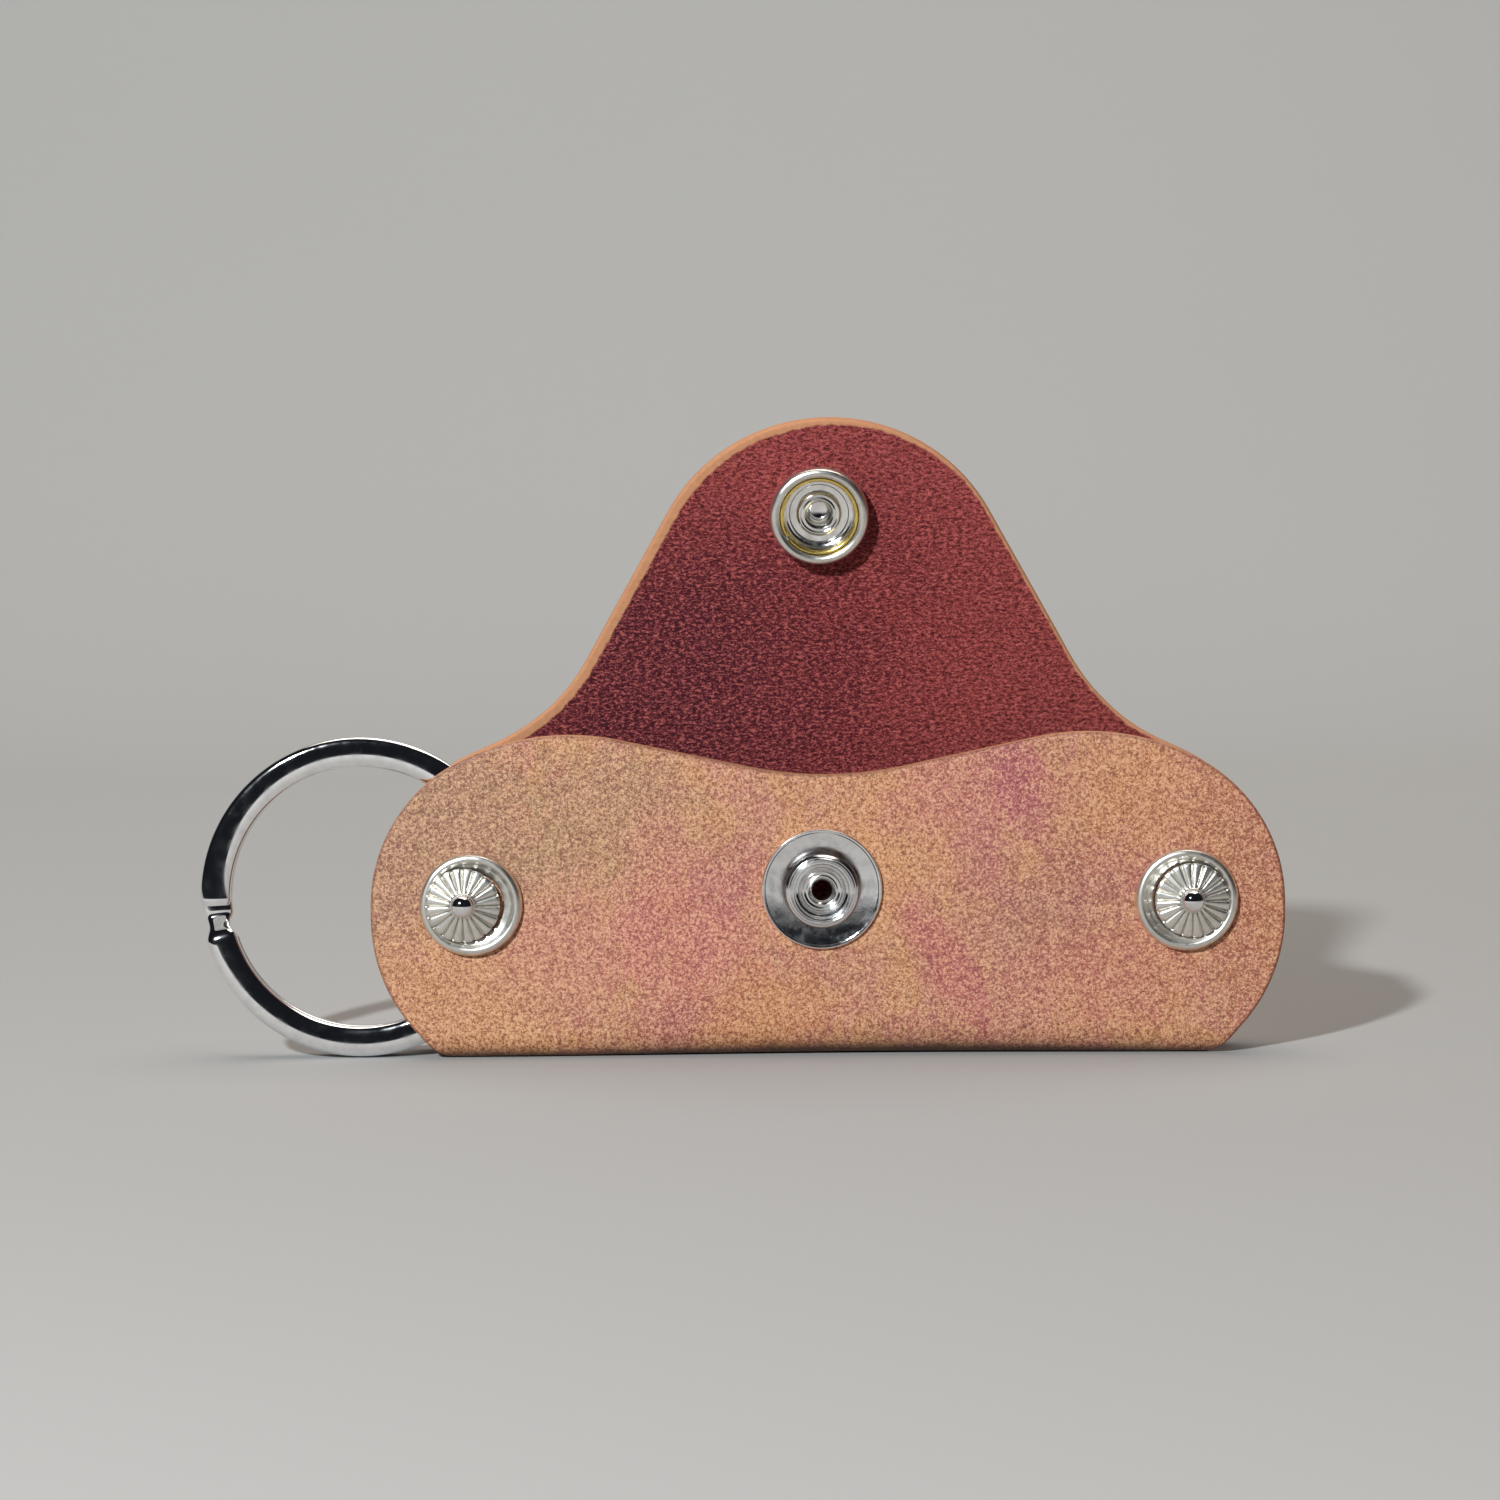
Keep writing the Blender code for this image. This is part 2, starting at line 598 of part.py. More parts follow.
def sunburst_loops():
    """A domed disc with radial flutes that deepen towards a scalloped rim, four points to a flute."""
    hole = PIN_SHANK_RADIUS + HOLE_CLEARANCE
    rim_top = SUNBURST_UNDERSIDE + SUNBURST_RIM_THICKNESS
    middle = (SUNBURST_LAND_RADIUS + SUNBURST_RADIUS) / 2
    rows = [
        (hole, SUNBURST_UNDERSIDE, 0, 0),
        (hole, SUNBURST_TOP, 0, 0),
        (SUNBURST_LAND_RADIUS, SUNBURST_TOP, 0, 0),
        (middle, (SUNBURST_TOP + rim_top) / 2, SUNBURST_FLUTE_DEPTH / 2, 0),
        (SUNBURST_RADIUS, rim_top, SUNBURST_FLUTE_DEPTH, SUNBURST_SCALLOP),
        (SUNBURST_RADIUS, SUNBURST_UNDERSIDE, 0, SUNBURST_SCALLOP),
    ]
    count = SUNBURST_FLUTES * 4
    loops = []
    for radius, height, depth, scallop in rows:
        loop = []
        for step in range(count):
            turn = math.tau * step / count
            valley = (1 - math.cos(SUNBURST_FLUTES * turn)) / 2
            reach = radius - scallop * valley
            loop.append((reach * math.cos(turn), reach * math.sin(turn), height - depth * valley))
        loops.append(loop)
    return loops


def pin_profile():
    end = -PIN_LENGTH_IN_POST
    head = arc(0, PIN_SEAT, PIN_HEAD_RADIUS, PIN_HEAD_RADIUS, 0, 90, 6)
    return [
        (0, end),
        (PIN_SHANK_RADIUS, end),
        (PIN_SHANK_RADIUS, PIN_SEAT),
        *head[:-1],
        (0, PIN_SEAT + PIN_HEAD_RADIUS),
    ]


def post_profile():
    """Head behind the back panel, tube across the pocket and a spigot through the front panel."""
    back_face = -(POCKET + 2 * LEATHER)
    head_foot = back_face - SEAT
    shoulder = -LEATHER - SEAT
    spigot_top = SEAT + WASHER_HEIGHT - SEAT
    bore = PIN_SHANK_RADIUS + PIN_BORE_CLEARANCE
    bore_floor = -PIN_LENGTH_IN_POST - PIN_BORE_CLEARANCE
    head = arc(0, head_foot, POST_HEAD_RADIUS, -POST_HEAD_HEIGHT, 90, 0, 6)
    return [
        (0, head_foot - POST_HEAD_HEIGHT),
        *head[1:],
        (POST_RADIUS, head_foot),
        (POST_RADIUS, shoulder),
        (POST_SPIGOT_RADIUS, shoulder),
        (POST_SPIGOT_RADIUS, spigot_top),
        (bore, spigot_top),
        (bore, bore_floor),
        (0, bore_floor),
    ]


def rivet(side, x, washer_slip, materials, frame):
    steel, chrome = materials["satin_nickel"], materials["chrome"]
    axis = {"parent": frame, "location": (x, -FACE, RIVET_HEIGHT_ON_PANEL), "lean": math.pi / 2}
    slipped = dict(axis, location=(x + washer_slip, -FACE, RIVET_HEIGHT_ON_PANEL))
    turned(side + "_rivet_washer", washer_profile(), WIDE_SEGMENTS, steel, **slipped)
    looped(side + "_rivet_sunburst", sunburst_loops(), True, steel, **axis)
    turned(side + "_rivet_pin", pin_profile(), NARROW_SEGMENTS, chrome, **axis)
    turned(side + "_rivet_post", post_profile(), NARROW_SEGMENTS, steel, **axis)


# Split ring


def ring_stations():
    """Places along the wire, (angle, share of the way from the front coil to the back coil)."""
    coil = 360 - RING_JOG_DEGREES
    steps = round(coil / RING_STEP_DEGREES)
    stations = [(coil * step / steps, 0) for step in range(steps)]
    for step in range(RING_JOG_STEPS):
        share = step / RING_JOG_STEPS
        stations.append((coil + RING_JOG_DEGREES * share, share * share * (3 - 2 * share)))
    stations += [(360 + coil * step / steps, 1) for step in range(steps + 1)]
    return [(math.radians(RING_END_DEGREES - turn), share) for turn, share in stations]


def ring_loops():
    """Rounded flat wire wound twice, crossing from the front coil to the back one at the split."""
    corner = 2 / RING_SQUARENESS
    loops = []
    for angle, across in ring_stations():
        pinch = RING_PINCH * 4 * across * (1 - across)
        width = RING_WIRE_WIDTH - pinch
        centre = RING_RADIUS - RING_WIRE_WIDTH / 2
        y = RING_COIL_Y * (2 * across - 1)
        loop = []
        for side in range(RING_SIDES):
            turn = math.tau * side / RING_SIDES
            out = math.copysign(abs(math.cos(turn)) ** corner, math.cos(turn)) * width / 2
            over = math.copysign(abs(math.sin(turn)) ** corner, math.sin(turn))
            reach = centre + out
            x = RING_CENTRE_X + reach * math.cos(angle)
            z = RING_CENTRE_Z + reach * math.sin(angle)
            loop.append((x, y + over * RING_WIRE_THICKNESS / 2, z))
        loops.append(loop)
    return loops


def least_self_gap(loops):
    """Least distance between points of the wire that lie at least a quarter turn apart along it."""
    apart = 90 // RING_STEP_DEGREES
    rows = [np.array(loop) for loop in loops]
    least = math.inf
    for first in range(len(rows) - apart):
        later = np.concatenate(rows[first + apart :])
        gaps = np.linalg.norm(rows[first][:, None] - later[None], axis=2)
        least = min(least, gaps.min())
    return least


def key_ring(material, frame):
    loops = ring_loops()
    print("key_ring least gap to itself, m:", round(float(least_self_gap(loops)), 6))
    looped("key_ring", loops, False, material, frame, (-RIVET_X, 0, RIVET_HEIGHT_ON_PANEL))


# The whole object


def main():
    clear_scene()
    materials = {
        "leather": principled("leather", (0.42, 0.20, 0.10), 0.75, 0),
        "satin_nickel": principled("satin_nickel", (0.55, 0.53, 0.50), 0.35, 1),
        "chrome": principled("chrome", (0.75, 0.75, 0.76), 0.08, 1),
        "brass": principled("brass", (0.70, 0.48, 0.20), 0.3, 1),
    }
    frame = empty("case_frame", location=(CASE_X, CASE_Y, 0))
    leather_case(materials["leather"], frame)
    flap = flap_chain(materials["leather"], frame)
    snap(materials, frame, flap)
    rivet("left", -RIVET_X, LEFT_WASHER_SLIP, materials, frame)
    rivet("right", RIVET_X, RIGHT_WASHER_SLIP, materials, frame)
    key_ring(materials["chrome"], frame)


main()
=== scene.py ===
import json
import math

import bmesh
import bpy
import numpy as np
from mathutils import Matrix, Vector


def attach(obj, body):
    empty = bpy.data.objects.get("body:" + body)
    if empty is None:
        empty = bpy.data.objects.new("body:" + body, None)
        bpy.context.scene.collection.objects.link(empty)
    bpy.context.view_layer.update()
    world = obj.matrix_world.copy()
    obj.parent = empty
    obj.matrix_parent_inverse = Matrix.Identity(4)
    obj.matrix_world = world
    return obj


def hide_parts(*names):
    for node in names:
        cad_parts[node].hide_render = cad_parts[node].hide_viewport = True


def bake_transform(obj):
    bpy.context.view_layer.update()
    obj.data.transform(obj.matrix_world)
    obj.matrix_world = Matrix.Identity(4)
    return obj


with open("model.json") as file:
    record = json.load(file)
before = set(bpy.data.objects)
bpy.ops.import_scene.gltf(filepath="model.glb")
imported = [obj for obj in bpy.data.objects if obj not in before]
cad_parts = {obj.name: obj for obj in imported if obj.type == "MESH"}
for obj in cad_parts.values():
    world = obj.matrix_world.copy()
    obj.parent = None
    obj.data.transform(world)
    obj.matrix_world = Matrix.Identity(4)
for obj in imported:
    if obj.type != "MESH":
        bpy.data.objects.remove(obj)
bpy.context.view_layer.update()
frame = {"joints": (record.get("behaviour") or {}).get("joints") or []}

# Sizes in millimetres. Meshes are scaled to metres as they are made.
MM = 0.001

# Leather sheet: its thickness, the pocket between the panels, and the bottom fold, whose bend is
# tight at its ends and wider in its middle
LEATHER = 1.5
POCKET = 4.8
FACE = POCKET / 2 + LEATHER
FOLD_END_RADIUS = 2.4
FOLD_MIDDLE_RADIUS = 3.8
FOLD_SPREAD = 9.0
FOLD_TAKE_UP = FACE - 2 * FOLD_END_RADIUS + (FOLD_END_RADIUS - LEATHER / 2) * math.pi / 2
FOLD_X = 4.0
FOLD_HALF = 37.0
EDGE_ROUND = 0.32
EDGE_MARGIN = 0.12

# Outline of the flat sheet, in heights above the bottom fold
LOBE_HALF = 45.5
LOBE_TOP_HEIGHT = 25.6
LOBE_TOP_RADIUS = 16.2
LOBE_FOOT_HEIGHT = 5.66
LOBE_FOOT_RADIUS = 16.7
FOLD_INSET = 7.6
FOLD_CORNER_RADIUS = 1
CROWN_INSET = 16.9
CROWN_HEIGHT = 33.5
CROWN_RADIUS = 24
DIP_HEIGHT = 27.4
DIP_RADIUS = 37
SHOULDER_HEIGHT = 33.7
SHOULDER_RADIUS = 20
FLAP_SIDE = math.radians(29)
FLAP_TIP_HEIGHT = 63.8
FLAP_TIP_RADIUS = 18.3
OUTLINE_STEP_DEGREES = 2.5

# Rows that the flat sheet is cut into, so that it can bend
GRID_PITCH = 2.6
FOLD_REACH = 5.2
FOLD_ROWS = 31
FRONT_ROWS_END = -34
BACK_ROWS_END = 25
BEND_ROWS = 41
FLAP_ROWS_START = 4.6
FLAP_ROWS_END = 65

# Bend between the back panel and the flap: four hinges, with three strips between them
HINGES = 4
STRIP_LENGTH = 3.8936
BEND_FOOT = 29.8096
HINGE_LEAN = math.radians(2.5)
FLAP_SHIFT = 0.35
FLAP_SHIFT_LENGTH = 8

# Snap and rivets
SNAP_X = -0.6
STUD_HEIGHT = 16.9
SOCKET_ABOVE_BEND = 12.9096
RIVET_X = 35.75
LEFT_RIVET_X = -36.25
RIGHT_RIVET_X = 36.15
LEFT_WASHER_SLIP = 0.75
RIGHT_WASHER_SLIP = -0.5
RIVET_HEIGHT = 15.6
RIVET_POST_RADIUS = 1.65
HOLE_RADIUS = 1.8
FLUTES = 20

# Split ring
RING_RADIUS = 16.0
RING_WIRE_WIDTH = 3.0
RING_WIRE_THICKNESS = 1.6
RING_LEAN = math.radians(3.2)
RING_DISH = math.radians(2.2)
RING_POST_GAP = 0.4
RING_COIL_GAP = 0.04
RING_FLOOR_GAP = 0.03
RING_MIDDLE = RING_RADIUS - RING_WIRE_WIDTH / 2
RING_CENTRE_X = RIVET_POST_RADIUS + RING_POST_GAP - (RING_RADIUS - RING_WIRE_WIDTH)

# Outline points closer than this are taken as one
SAME_POINT = 1e-4
# Edges that turn more than this are shaded sharp
SMOOTH_EDGE = math.radians(50)

bends = [joint for joint in frame["joints"] if joint["name"].startswith("flap_bend")]
CASE_X = bends[0]["pos_m"][0] / MM
CASE_Y = bends[0]["pos_m"][1] / MM - POCKET / 2


# Node helpers


def put(tree, socket, value):
    if isinstance(value, bpy.types.NodeSocket):
        tree.links.new(value, socket)
    else:
        socket.default_value = value


def node(tree, kind, values=None, **settings):
    """A node with its settings made and its inputs set or linked, by name or by place."""
    made = tree.nodes.new(kind)
    for key, value in settings.items():
        setattr(made, key, value)
    for key, value in (values or {}).items():
        put(tree, made.inputs[key], value)
    return made


def sums(tree, operation, a, b=0.0, c=0.0):
    return node(tree, "ShaderNodeMath", {0: a, 1: b, 2: c}, operation=operation).outputs[0]


def vector(tree, operation, a, b=(0, 0, 0)):
    made = node(tree, "ShaderNodeVectorMath", {0: a, 1: b}, operation=operation)
    return made.outputs["Value" if operation == "LENGTH" else "Vector"]


def ramp(tree, value, low, high, out_low=0.0, out_high=1.0):
    """A smooth step of a value from one level to another."""
    made = node(
        tree,
        "ShaderNodeMapRange",
        {"Value": value, "From Min": low, "From Max": high, "To Min": out_low, "To Max": out_high},
        interpolation_type="SMOOTHSTEP",
    )
    return made.outputs["Result"]


def mixed(tree, share, first, second):
    """Two colours mixed, with that share of the second."""
    values = {0: share, 6: first, 7: second}
    return node(tree, "ShaderNodeMix", values, data_type="RGBA").outputs[2]


def noise(tree, place, scale, detail=2.0, roughness=0.5, distortion=0.0):
    values = {"Vector": place, "Scale": scale, "Detail": detail}
    values |= {"Roughness": roughness, "Distortion": distortion}
    return node(tree, "ShaderNodeTexNoise", values).outputs["Fac"]


def split(tree, place):
    return node(tree, "ShaderNodeSeparateXYZ", {0: place}).outputs


def tone(red, green, blue, light):
    """The linear colour of a surface that looks like this colour under that light."""
    linear = []
    for channel, lit in zip((red, green, blue), light):
        part = channel / 255
        part = part / 12.92 if part < 0.04045 else ((part + 0.055) / 1.055) ** 2.4
        linear.append(part / lit)
    return (*linear, 1)


def add_socket(tree, label, side, kind):
    return tree.interface.new_socket(name=label, in_out=side, socket_type="NodeSocket" + kind)


def new_group(name, inputs, outputs):
    """A shader group with named inputs, each (name, kind, value), and named outputs."""
    tree = bpy.data.node_groups.new(name, "ShaderNodeTree")
    for label, kind, value in inputs:
        add_socket(tree, label, "INPUT", kind).default_value = value
    for label, kind in outputs:
        add_socket(tree, label, "OUTPUT", kind)
    return tree, tree.nodes.new("NodeGroupInput").outputs, tree.nodes.new("NodeGroupOutput").inputs


def use(tree, group, values):
    return node(tree, "ShaderNodeGroup", values, node_tree=group).outputs


# Shader groups


def stain_group():
    """An oval patch with a ragged, soft edge."""
    tree, given, out = new_group(
        "stain",
        [
            ("Place", "Vector", (0, 0, 0)),
            ("Centre", "Vector", (0, 0, 0)),
            ("Reach", "Vector", (1, 1, 1)),
            ("Lean", "Float", 0.0),
            ("Ragged", "Float", 0.5),
            ("Softness", "Float", 0.5),
        ],
        [("Mask", "Float")],
    )
    away = vector(tree, "SUBTRACT", given["Place"], given["Centre"])
    values = {"Vector": away, "Angle": given["Lean"]}
    turned_away = node(tree, "ShaderNodeVectorRotate", values, rotation_type="Z_AXIS").outputs[0]
    length = vector(tree, "LENGTH", vector(tree, "DIVIDE", turned_away, given["Reach"]))
    rough = sums(tree, "SUBTRACT", noise(tree, given["Place"], 0.24, 6.0, 0.82, 0.8), 0.5)
    length = sums(tree, "MULTIPLY_ADD", rough, given["Ragged"], length)
    inner = sums(tree, "SUBTRACT", 1.0, given["Softness"])
    outer = sums(tree, "ADD", 1.0, given["Softness"])
    put(tree, out["Mask"], ramp(tree, length, inner, outer, 1.0, 0.0))
    return tree


def grain_group():
    """Fine pebbled grain: a height for bump and a mask of dark pores."""
    tree, given, out = new_group(
        "leather_grain",
        [("Place", "Vector", (0, 0, 0)), ("Pitch", "Float", 0.3), ("Pore Share", "Float", 0.5)],
        [("Height", "Float"), ("Pores", "Float")],
    )
    scale = sums(tree, "DIVIDE", 1.0, given["Pitch"])
    cells = node(
        tree,
        "ShaderNodeTexVoronoi",
        {"Vector": given["Place"], "Scale": scale, "Randomness": 1.0},
        feature="SMOOTH_F1",
    ).outputs["Distance"]
    cloud = noise(tree, given["Place"], scale, 3.0, 0.65)
    fine = noise(tree, given["Place"], sums(tree, "MULTIPLY", scale, 2.3), 1.0)
    height = sums(tree, "MULTIPLY_ADD", cells, -0.6, cloud)
    put(tree, out["Height"], sums(tree, "MULTIPLY_ADD", fine, 0.35, height))
    edge = sums(tree, "MULTIPLY_ADD", given["Pore Share"], 0.25, 0.3)
    put(tree, out["Pores"], ramp(tree, fine, edge, sums(tree, "SUBTRACT", edge, 0.12)))
    return tree


def turning_group():
    """Marks of turning on a round metal piece: fine rings about its axis, and dull patches."""
    tree, given, out = new_group(
        "turning_marks",
        [("Turn", "Vector", (0, 0, 0)), ("Place", "Vector", (0, 0, 0)), ("Pitch", "Float", 0.05)],
        [("Height", "Float"), ("Haze", "Float")],
    )
    radius, angle, level = split(tree, given["Turn"])
    drawn_out = sums(tree, "MULTIPLY", angle, 0.4)
    rings = node(tree, "ShaderNodeCombineXYZ", {0: radius, 1: drawn_out, 2: level})
    scale = sums(tree, "DIVIDE", 1.0, given["Pitch"])
    ring_marks = noise(tree, rings.outputs[0], scale, 1.0)
    dull = noise(tree, given["Place"], 900.0, 4.0, 0.6)
    put(tree, out["Height"], ring_marks)
    put(tree, out["Haze"], ramp(tree, dull, 0.35, 0.7))
    return tree


STAIN = stain_group()
GRAIN = grain_group()
TURNING = turning_group()


# Materials


def new_material(name):
    material = bpy.data.materials.new(name)
    material.use_nodes = True
    return material, material.node_tree, material.node_tree.nodes["Principled BSDF"]


def leather_material():
    material, tree, shader = new_material("leather_sheet")
    place = node(tree, "ShaderNodeAttribute", attribute_name="flat").outputs["Vector"]
    rim = node(tree, "ShaderNodeAttribute", attribute_name="rim").outputs["Fac"]
    x, along, depth = split(tree, place)
    # How strongly each side is lit, by channel, which tone() takes out of the colours below
    shown = (1.23, 1.37, 1.4)
    lit = (1.33, 1.96, 1.83)

    # Outer side. Along is the distance from the fold's middle, negative up the front panel.
    brushed = vector(tree, "MULTIPLY", place, (1.0, 0.6, 1.0))
    broad = noise(tree, brushed, 0.16, 5.0, 0.62, 1.0)
    patchy = noise(tree, vector(tree, "ADD", brushed, (31, 7, 3)), 0.34, 5.0, 0.66, 1.0)
    rosy = noise(tree, vector(tree, "ADD", brushed, (3, 57, 8)), 0.24, 5.0, 0.66, 1.4)
    tan, pink = tone(214, 156, 106, shown), tone(202, 136, 116, shown)
    outer = mixed(tree, ramp(tree, broad, 0.38, 0.62), tan, pink)
    outer = mixed(tree, ramp(tree, patchy, 0.46, 0.62, 0.0, 0.6), outer, tone(206, 158, 112, shown))
    outer = mixed(tree, ramp(tree, rosy, 0.52, 0.68, 0.0, 0.65), outer, tone(194, 116, 112, shown))
    stains = [
        # centre x and height on the panel, reach across and up, lean, strength, colour
        ((-40, 23), (12, 12), 0.0, 0.8, (172, 138, 108)),
        ((-22, 24), (8, 7), 0.1, 0.7, (180, 148, 106)),
        ((-36, 6), (11, 7), 0.0, 0.7, (212, 156, 106)),
        ((-25, 11), (8, 5), 0.3, 0.6, (208, 140, 120)),
        ((-14, 11), (7, 7), 0.2, 0.7, (206, 120, 116)),
        ((-14, 4), (6, 2.5), 0.2, 0.5, (176, 94, 94)),
        ((-10, 18), (4, 4), -0.2, 0.6, (186, 104, 112)),
        ((-17, 20), (3, 5), 0.0, 0.5, (208, 128, 114)),
        ((-6, 4), (6, 5), 0.0, 0.6, (214, 146, 96)),
        ((7, 24), (7, 8), 0.1, 0.65, (220, 160, 108)),
        ((14, 27), (8, 5), 0.3, 0.65, (202, 118, 116)),
        ((19, 28), (2.8, 7), 0.35, 0.7, (184, 92, 112)),
        ((15, 20), (2.6, 6), 0.5, 0.5, (190, 104, 116)),
        ((12, 9), (2.4, 8), 0.5, 0.65, (194, 98, 106)),
        ((26, 19), (6, 4), 0.2, 0.6, (176, 96, 100)),
        ((22, 13), (6, 5), 0.0, 0.6, (178, 118, 110)),
        ((31, 26), (8, 6), 0.0, 0.65, (216, 150, 104)),
        ((28, 8), (9, 5), 0.0, 0.6, (204, 122, 106)),
        ((43, 17), (7, 13), 0.0, 0.65, (186, 114, 84)),
    ]
    for (sx, height), (reach_x, reach_y), lean, strength, colour in stains:
        patch = {"Centre": (sx, -(height + FOLD_TAKE_UP), 1), "Reach": (reach_x, reach_y, 40)}
        patch |= {"Place": place, "Lean": lean, "Ragged": 2.6, "Softness": 0.4}
        mask = use(tree, STAIN, patch)["Mask"]
        outer = mixed(tree, sums(tree, "MULTIPLY", mask, strength), outer, tone(*colour, shown))
    # fine flecks of purple, and dark pores on a paler ground
    flecks = noise(tree, vector(tree, "ADD", place, (5, 90, 0)), 0.55, 6.0, 0.8)
    outer = mixed(tree, ramp(tree, flecks, 0.56, 0.7, 0.0, 0.55), outer, tone(168, 92, 104, shown))
    outer = mixed(tree, ramp(tree, flecks, 0.44, 0.32, 0.0, 0.5), outer, tone(212, 170, 118, shown))
    grain = use(tree, GRAIN, {"Place": place, "Pitch": 0.34, "Pore Share": 0.5})
    speck = noise(tree, place, 3.6, 3.0, 0.9)
    outer = mixed(tree, ramp(tree, speck, 0.49, 0.39, 0.0, 0.85), outer, tone(120, 68, 56, shown))
    outer = mixed(tree, ramp(tree, speck, 0.5, 0.6, 0.0, 0.75), outer, tone(248, 206, 164, shown))
    pores = sums(tree, "MULTIPLY", grain["Pores"], 0.3)
    outer = mixed(tree, pores, outer, tone(128, 74, 54, shown))
    # painted shade darkens the underside of the fold, and the cut rim is darker
    from_fold = sums(tree, "ABSOLUTE", along)
    painted_fold_shade = sums(tree, "MULTIPLY_ADD", noise(tree, place, 0.5, 4.0, 0.6), 1.2, from_fold)
    outer = mixed(tree, ramp(tree, painted_fold_shade, 3.9, 2.3, 0.0, 0.8), outer, tone(58, 34, 28, shown))
    outer = mixed(tree, ramp(tree, rim, 0.36, 0.16, 0.0, 0.5), outer, tone(118, 66, 50, shown))

    # Inner side: dark red with paler fibres, darkest at the lower left
    inner_broad = noise(tree, vector(tree, "ADD", place, (0, 40, 9)), 0.1, 3.0, 0.6, 0.5)
    wine, brick = tone(112, 42, 50, lit), tone(138, 60, 58, lit)
    inner = mixed(tree, ramp(tree, inner_broad, 0.3, 0.7), wine, brick)
    corner = {"Centre": (-18, 40, 0), "Reach": (16, 15, 40), "Lean": 0.0, "Ragged": 1.0}
    corner |= {"Place": place, "Softness": 0.7}
    corner_mask = sums(tree, "MULTIPLY", use(tree, STAIN, corner)["Mask"], 0.95)
    inner = mixed(tree, corner_mask, inner, tone(84, 30, 46, lit))
    inner = mixed(tree, ramp(tree, x, -2.0, 26.0, 0.0, 0.8), inner, tone(154, 78, 70, lit))
    inner = mixed(tree, ramp(tree, along, 46.0, 66.0, 0.0, 0.7), inner, tone(162, 84, 78, lit))
    fibres = noise(tree, vector(tree, "MULTIPLY", place, (0.75, 1.4, 1.0)), 2.6, 3.0, 0.95, 0.4)
    inner = mixed(tree, ramp(tree, fibres, 0.5, 0.61, 0.0, 0.85), inner, tone(204, 126, 114, lit))
    inner = mixed(tree, ramp(tree, fibres, 0.5, 0.4, 0.0, 0.85), inner, tone(58, 16, 24, lit))

    # Cut edge, whose burnished tan laps on to the inner side, widest on the left: partly uneven
    # bevels, partly a painted highlight on the left bevel, which faces the lamp
    wobble = sums(tree, "SUBTRACT", noise(tree, place, 0.8, 3.0, 0.6), 0.5)
    lap_and_painted_highlight = ramp(tree, x, -22.0, 16.0, 0.95, 0.3)
    lap_and_painted_highlight = sums(tree, "MULTIPLY_ADD", wobble, 0.5, lap_and_painted_highlight)
    edge_mask = ramp(tree, sums(tree, "SUBTRACT", rim, lap_and_painted_highlight), -0.12, 0.12, 1.0, 0.0)
    edge_streaks = noise(tree, vector(tree, "MULTIPLY", place, (1.0, 1.0, 6.0)), 1.6, 3.0, 0.6)
    edge = mixed(tree, edge_streaks, tone(184, 130, 94, shown), tone(222, 168, 124, shown))
    inside = ramp(tree, depth, 0.3, 0.1)
    outside = ramp(tree, depth, 0.78, 0.93)
    inside_mask = sums(tree, "MULTIPLY", inside, sums(tree, "SUBTRACT", 1.0, edge_mask))
    colour = mixed(tree, inside_mask, edge, inner)
    colour = mixed(tree, outside, colour, outer)
    put(tree, shader.inputs["Base Color"], colour)
    put(tree, shader.inputs["Roughness"], ramp(tree, depth, 0.3, 0.9, 0.86, 0.58))
    put(tree, shader.inputs["Specular IOR Level"], ramp(tree, depth, 0.3, 0.9, 0.2, 0.4))
    fuzz = sums(tree, "MULTIPLY", fibres, 1.4)
    heights = {0: outside, 2: fuzz, 3: grain["Height"]}
    height = node(tree, "ShaderNodeMix", heights, data_type="FLOAT").outputs[0]
    bump = node(tree, "ShaderNodeBump", {"Strength": 0.5, "Distance": 0.00003, "Height": height})
    put(tree, shader.inputs["Normal"], bump.outputs[0])
    return material


def metal_material(name, base, dark, roughness, haze, pitch, bump_height, painted_shade=None):
    """Turned and plated metal with turning marks, and dull patches that are darker and rougher.
    It can have painted shade between two radii and two heights."""
    material, tree, shader = new_material(name)
    turn = node(tree, "ShaderNodeAttribute", attribute_name="turn").outputs["Vector"]
    place = node(tree, "ShaderNodeTexCoord").outputs["Object"]
    marks = use(tree, TURNING, {"Turn": turn, "Place": place, "Pitch": pitch})
    colour = mixed(tree, marks["Haze"], (*base, 1), (*dark, 1))
    if painted_shade:
        radius, _, level = split(tree, turn)
        near, far, bottom, top = painted_shade
        shade_share = ramp(tree, radius, near - 0.05, near)
        for value, clean, full in (
            (radius, far + 0.1, far),
            (level, top + 0.05, top),
            (level, bottom - 0.03, bottom),
        ):
            shade_share = sums(tree, "MULTIPLY", shade_share, ramp(tree, value, clean, full))
        # painted shade: this near-black grey darkens the waist under the stud's head
        colour = mixed(tree, shade_share, colour, (0.2, 0.19, 0.19, 1))
    put(tree, shader.inputs["Base Color"], colour)
    put(tree, shader.inputs["Metallic"], 1.0)
    rough = sums(tree, "MULTIPLY_ADD", marks["Haze"], haze, roughness)
    put(tree, shader.inputs["Roughness"], rough)
    values = {"Strength": 0.6, "Distance": bump_height, "Height": marks["Height"]}
    bump = node(tree, "ShaderNodeBump", values)
    put(tree, shader.inputs["Normal"], bump.outputs[0])
    return material


LEATHER_LOOK = leather_material()
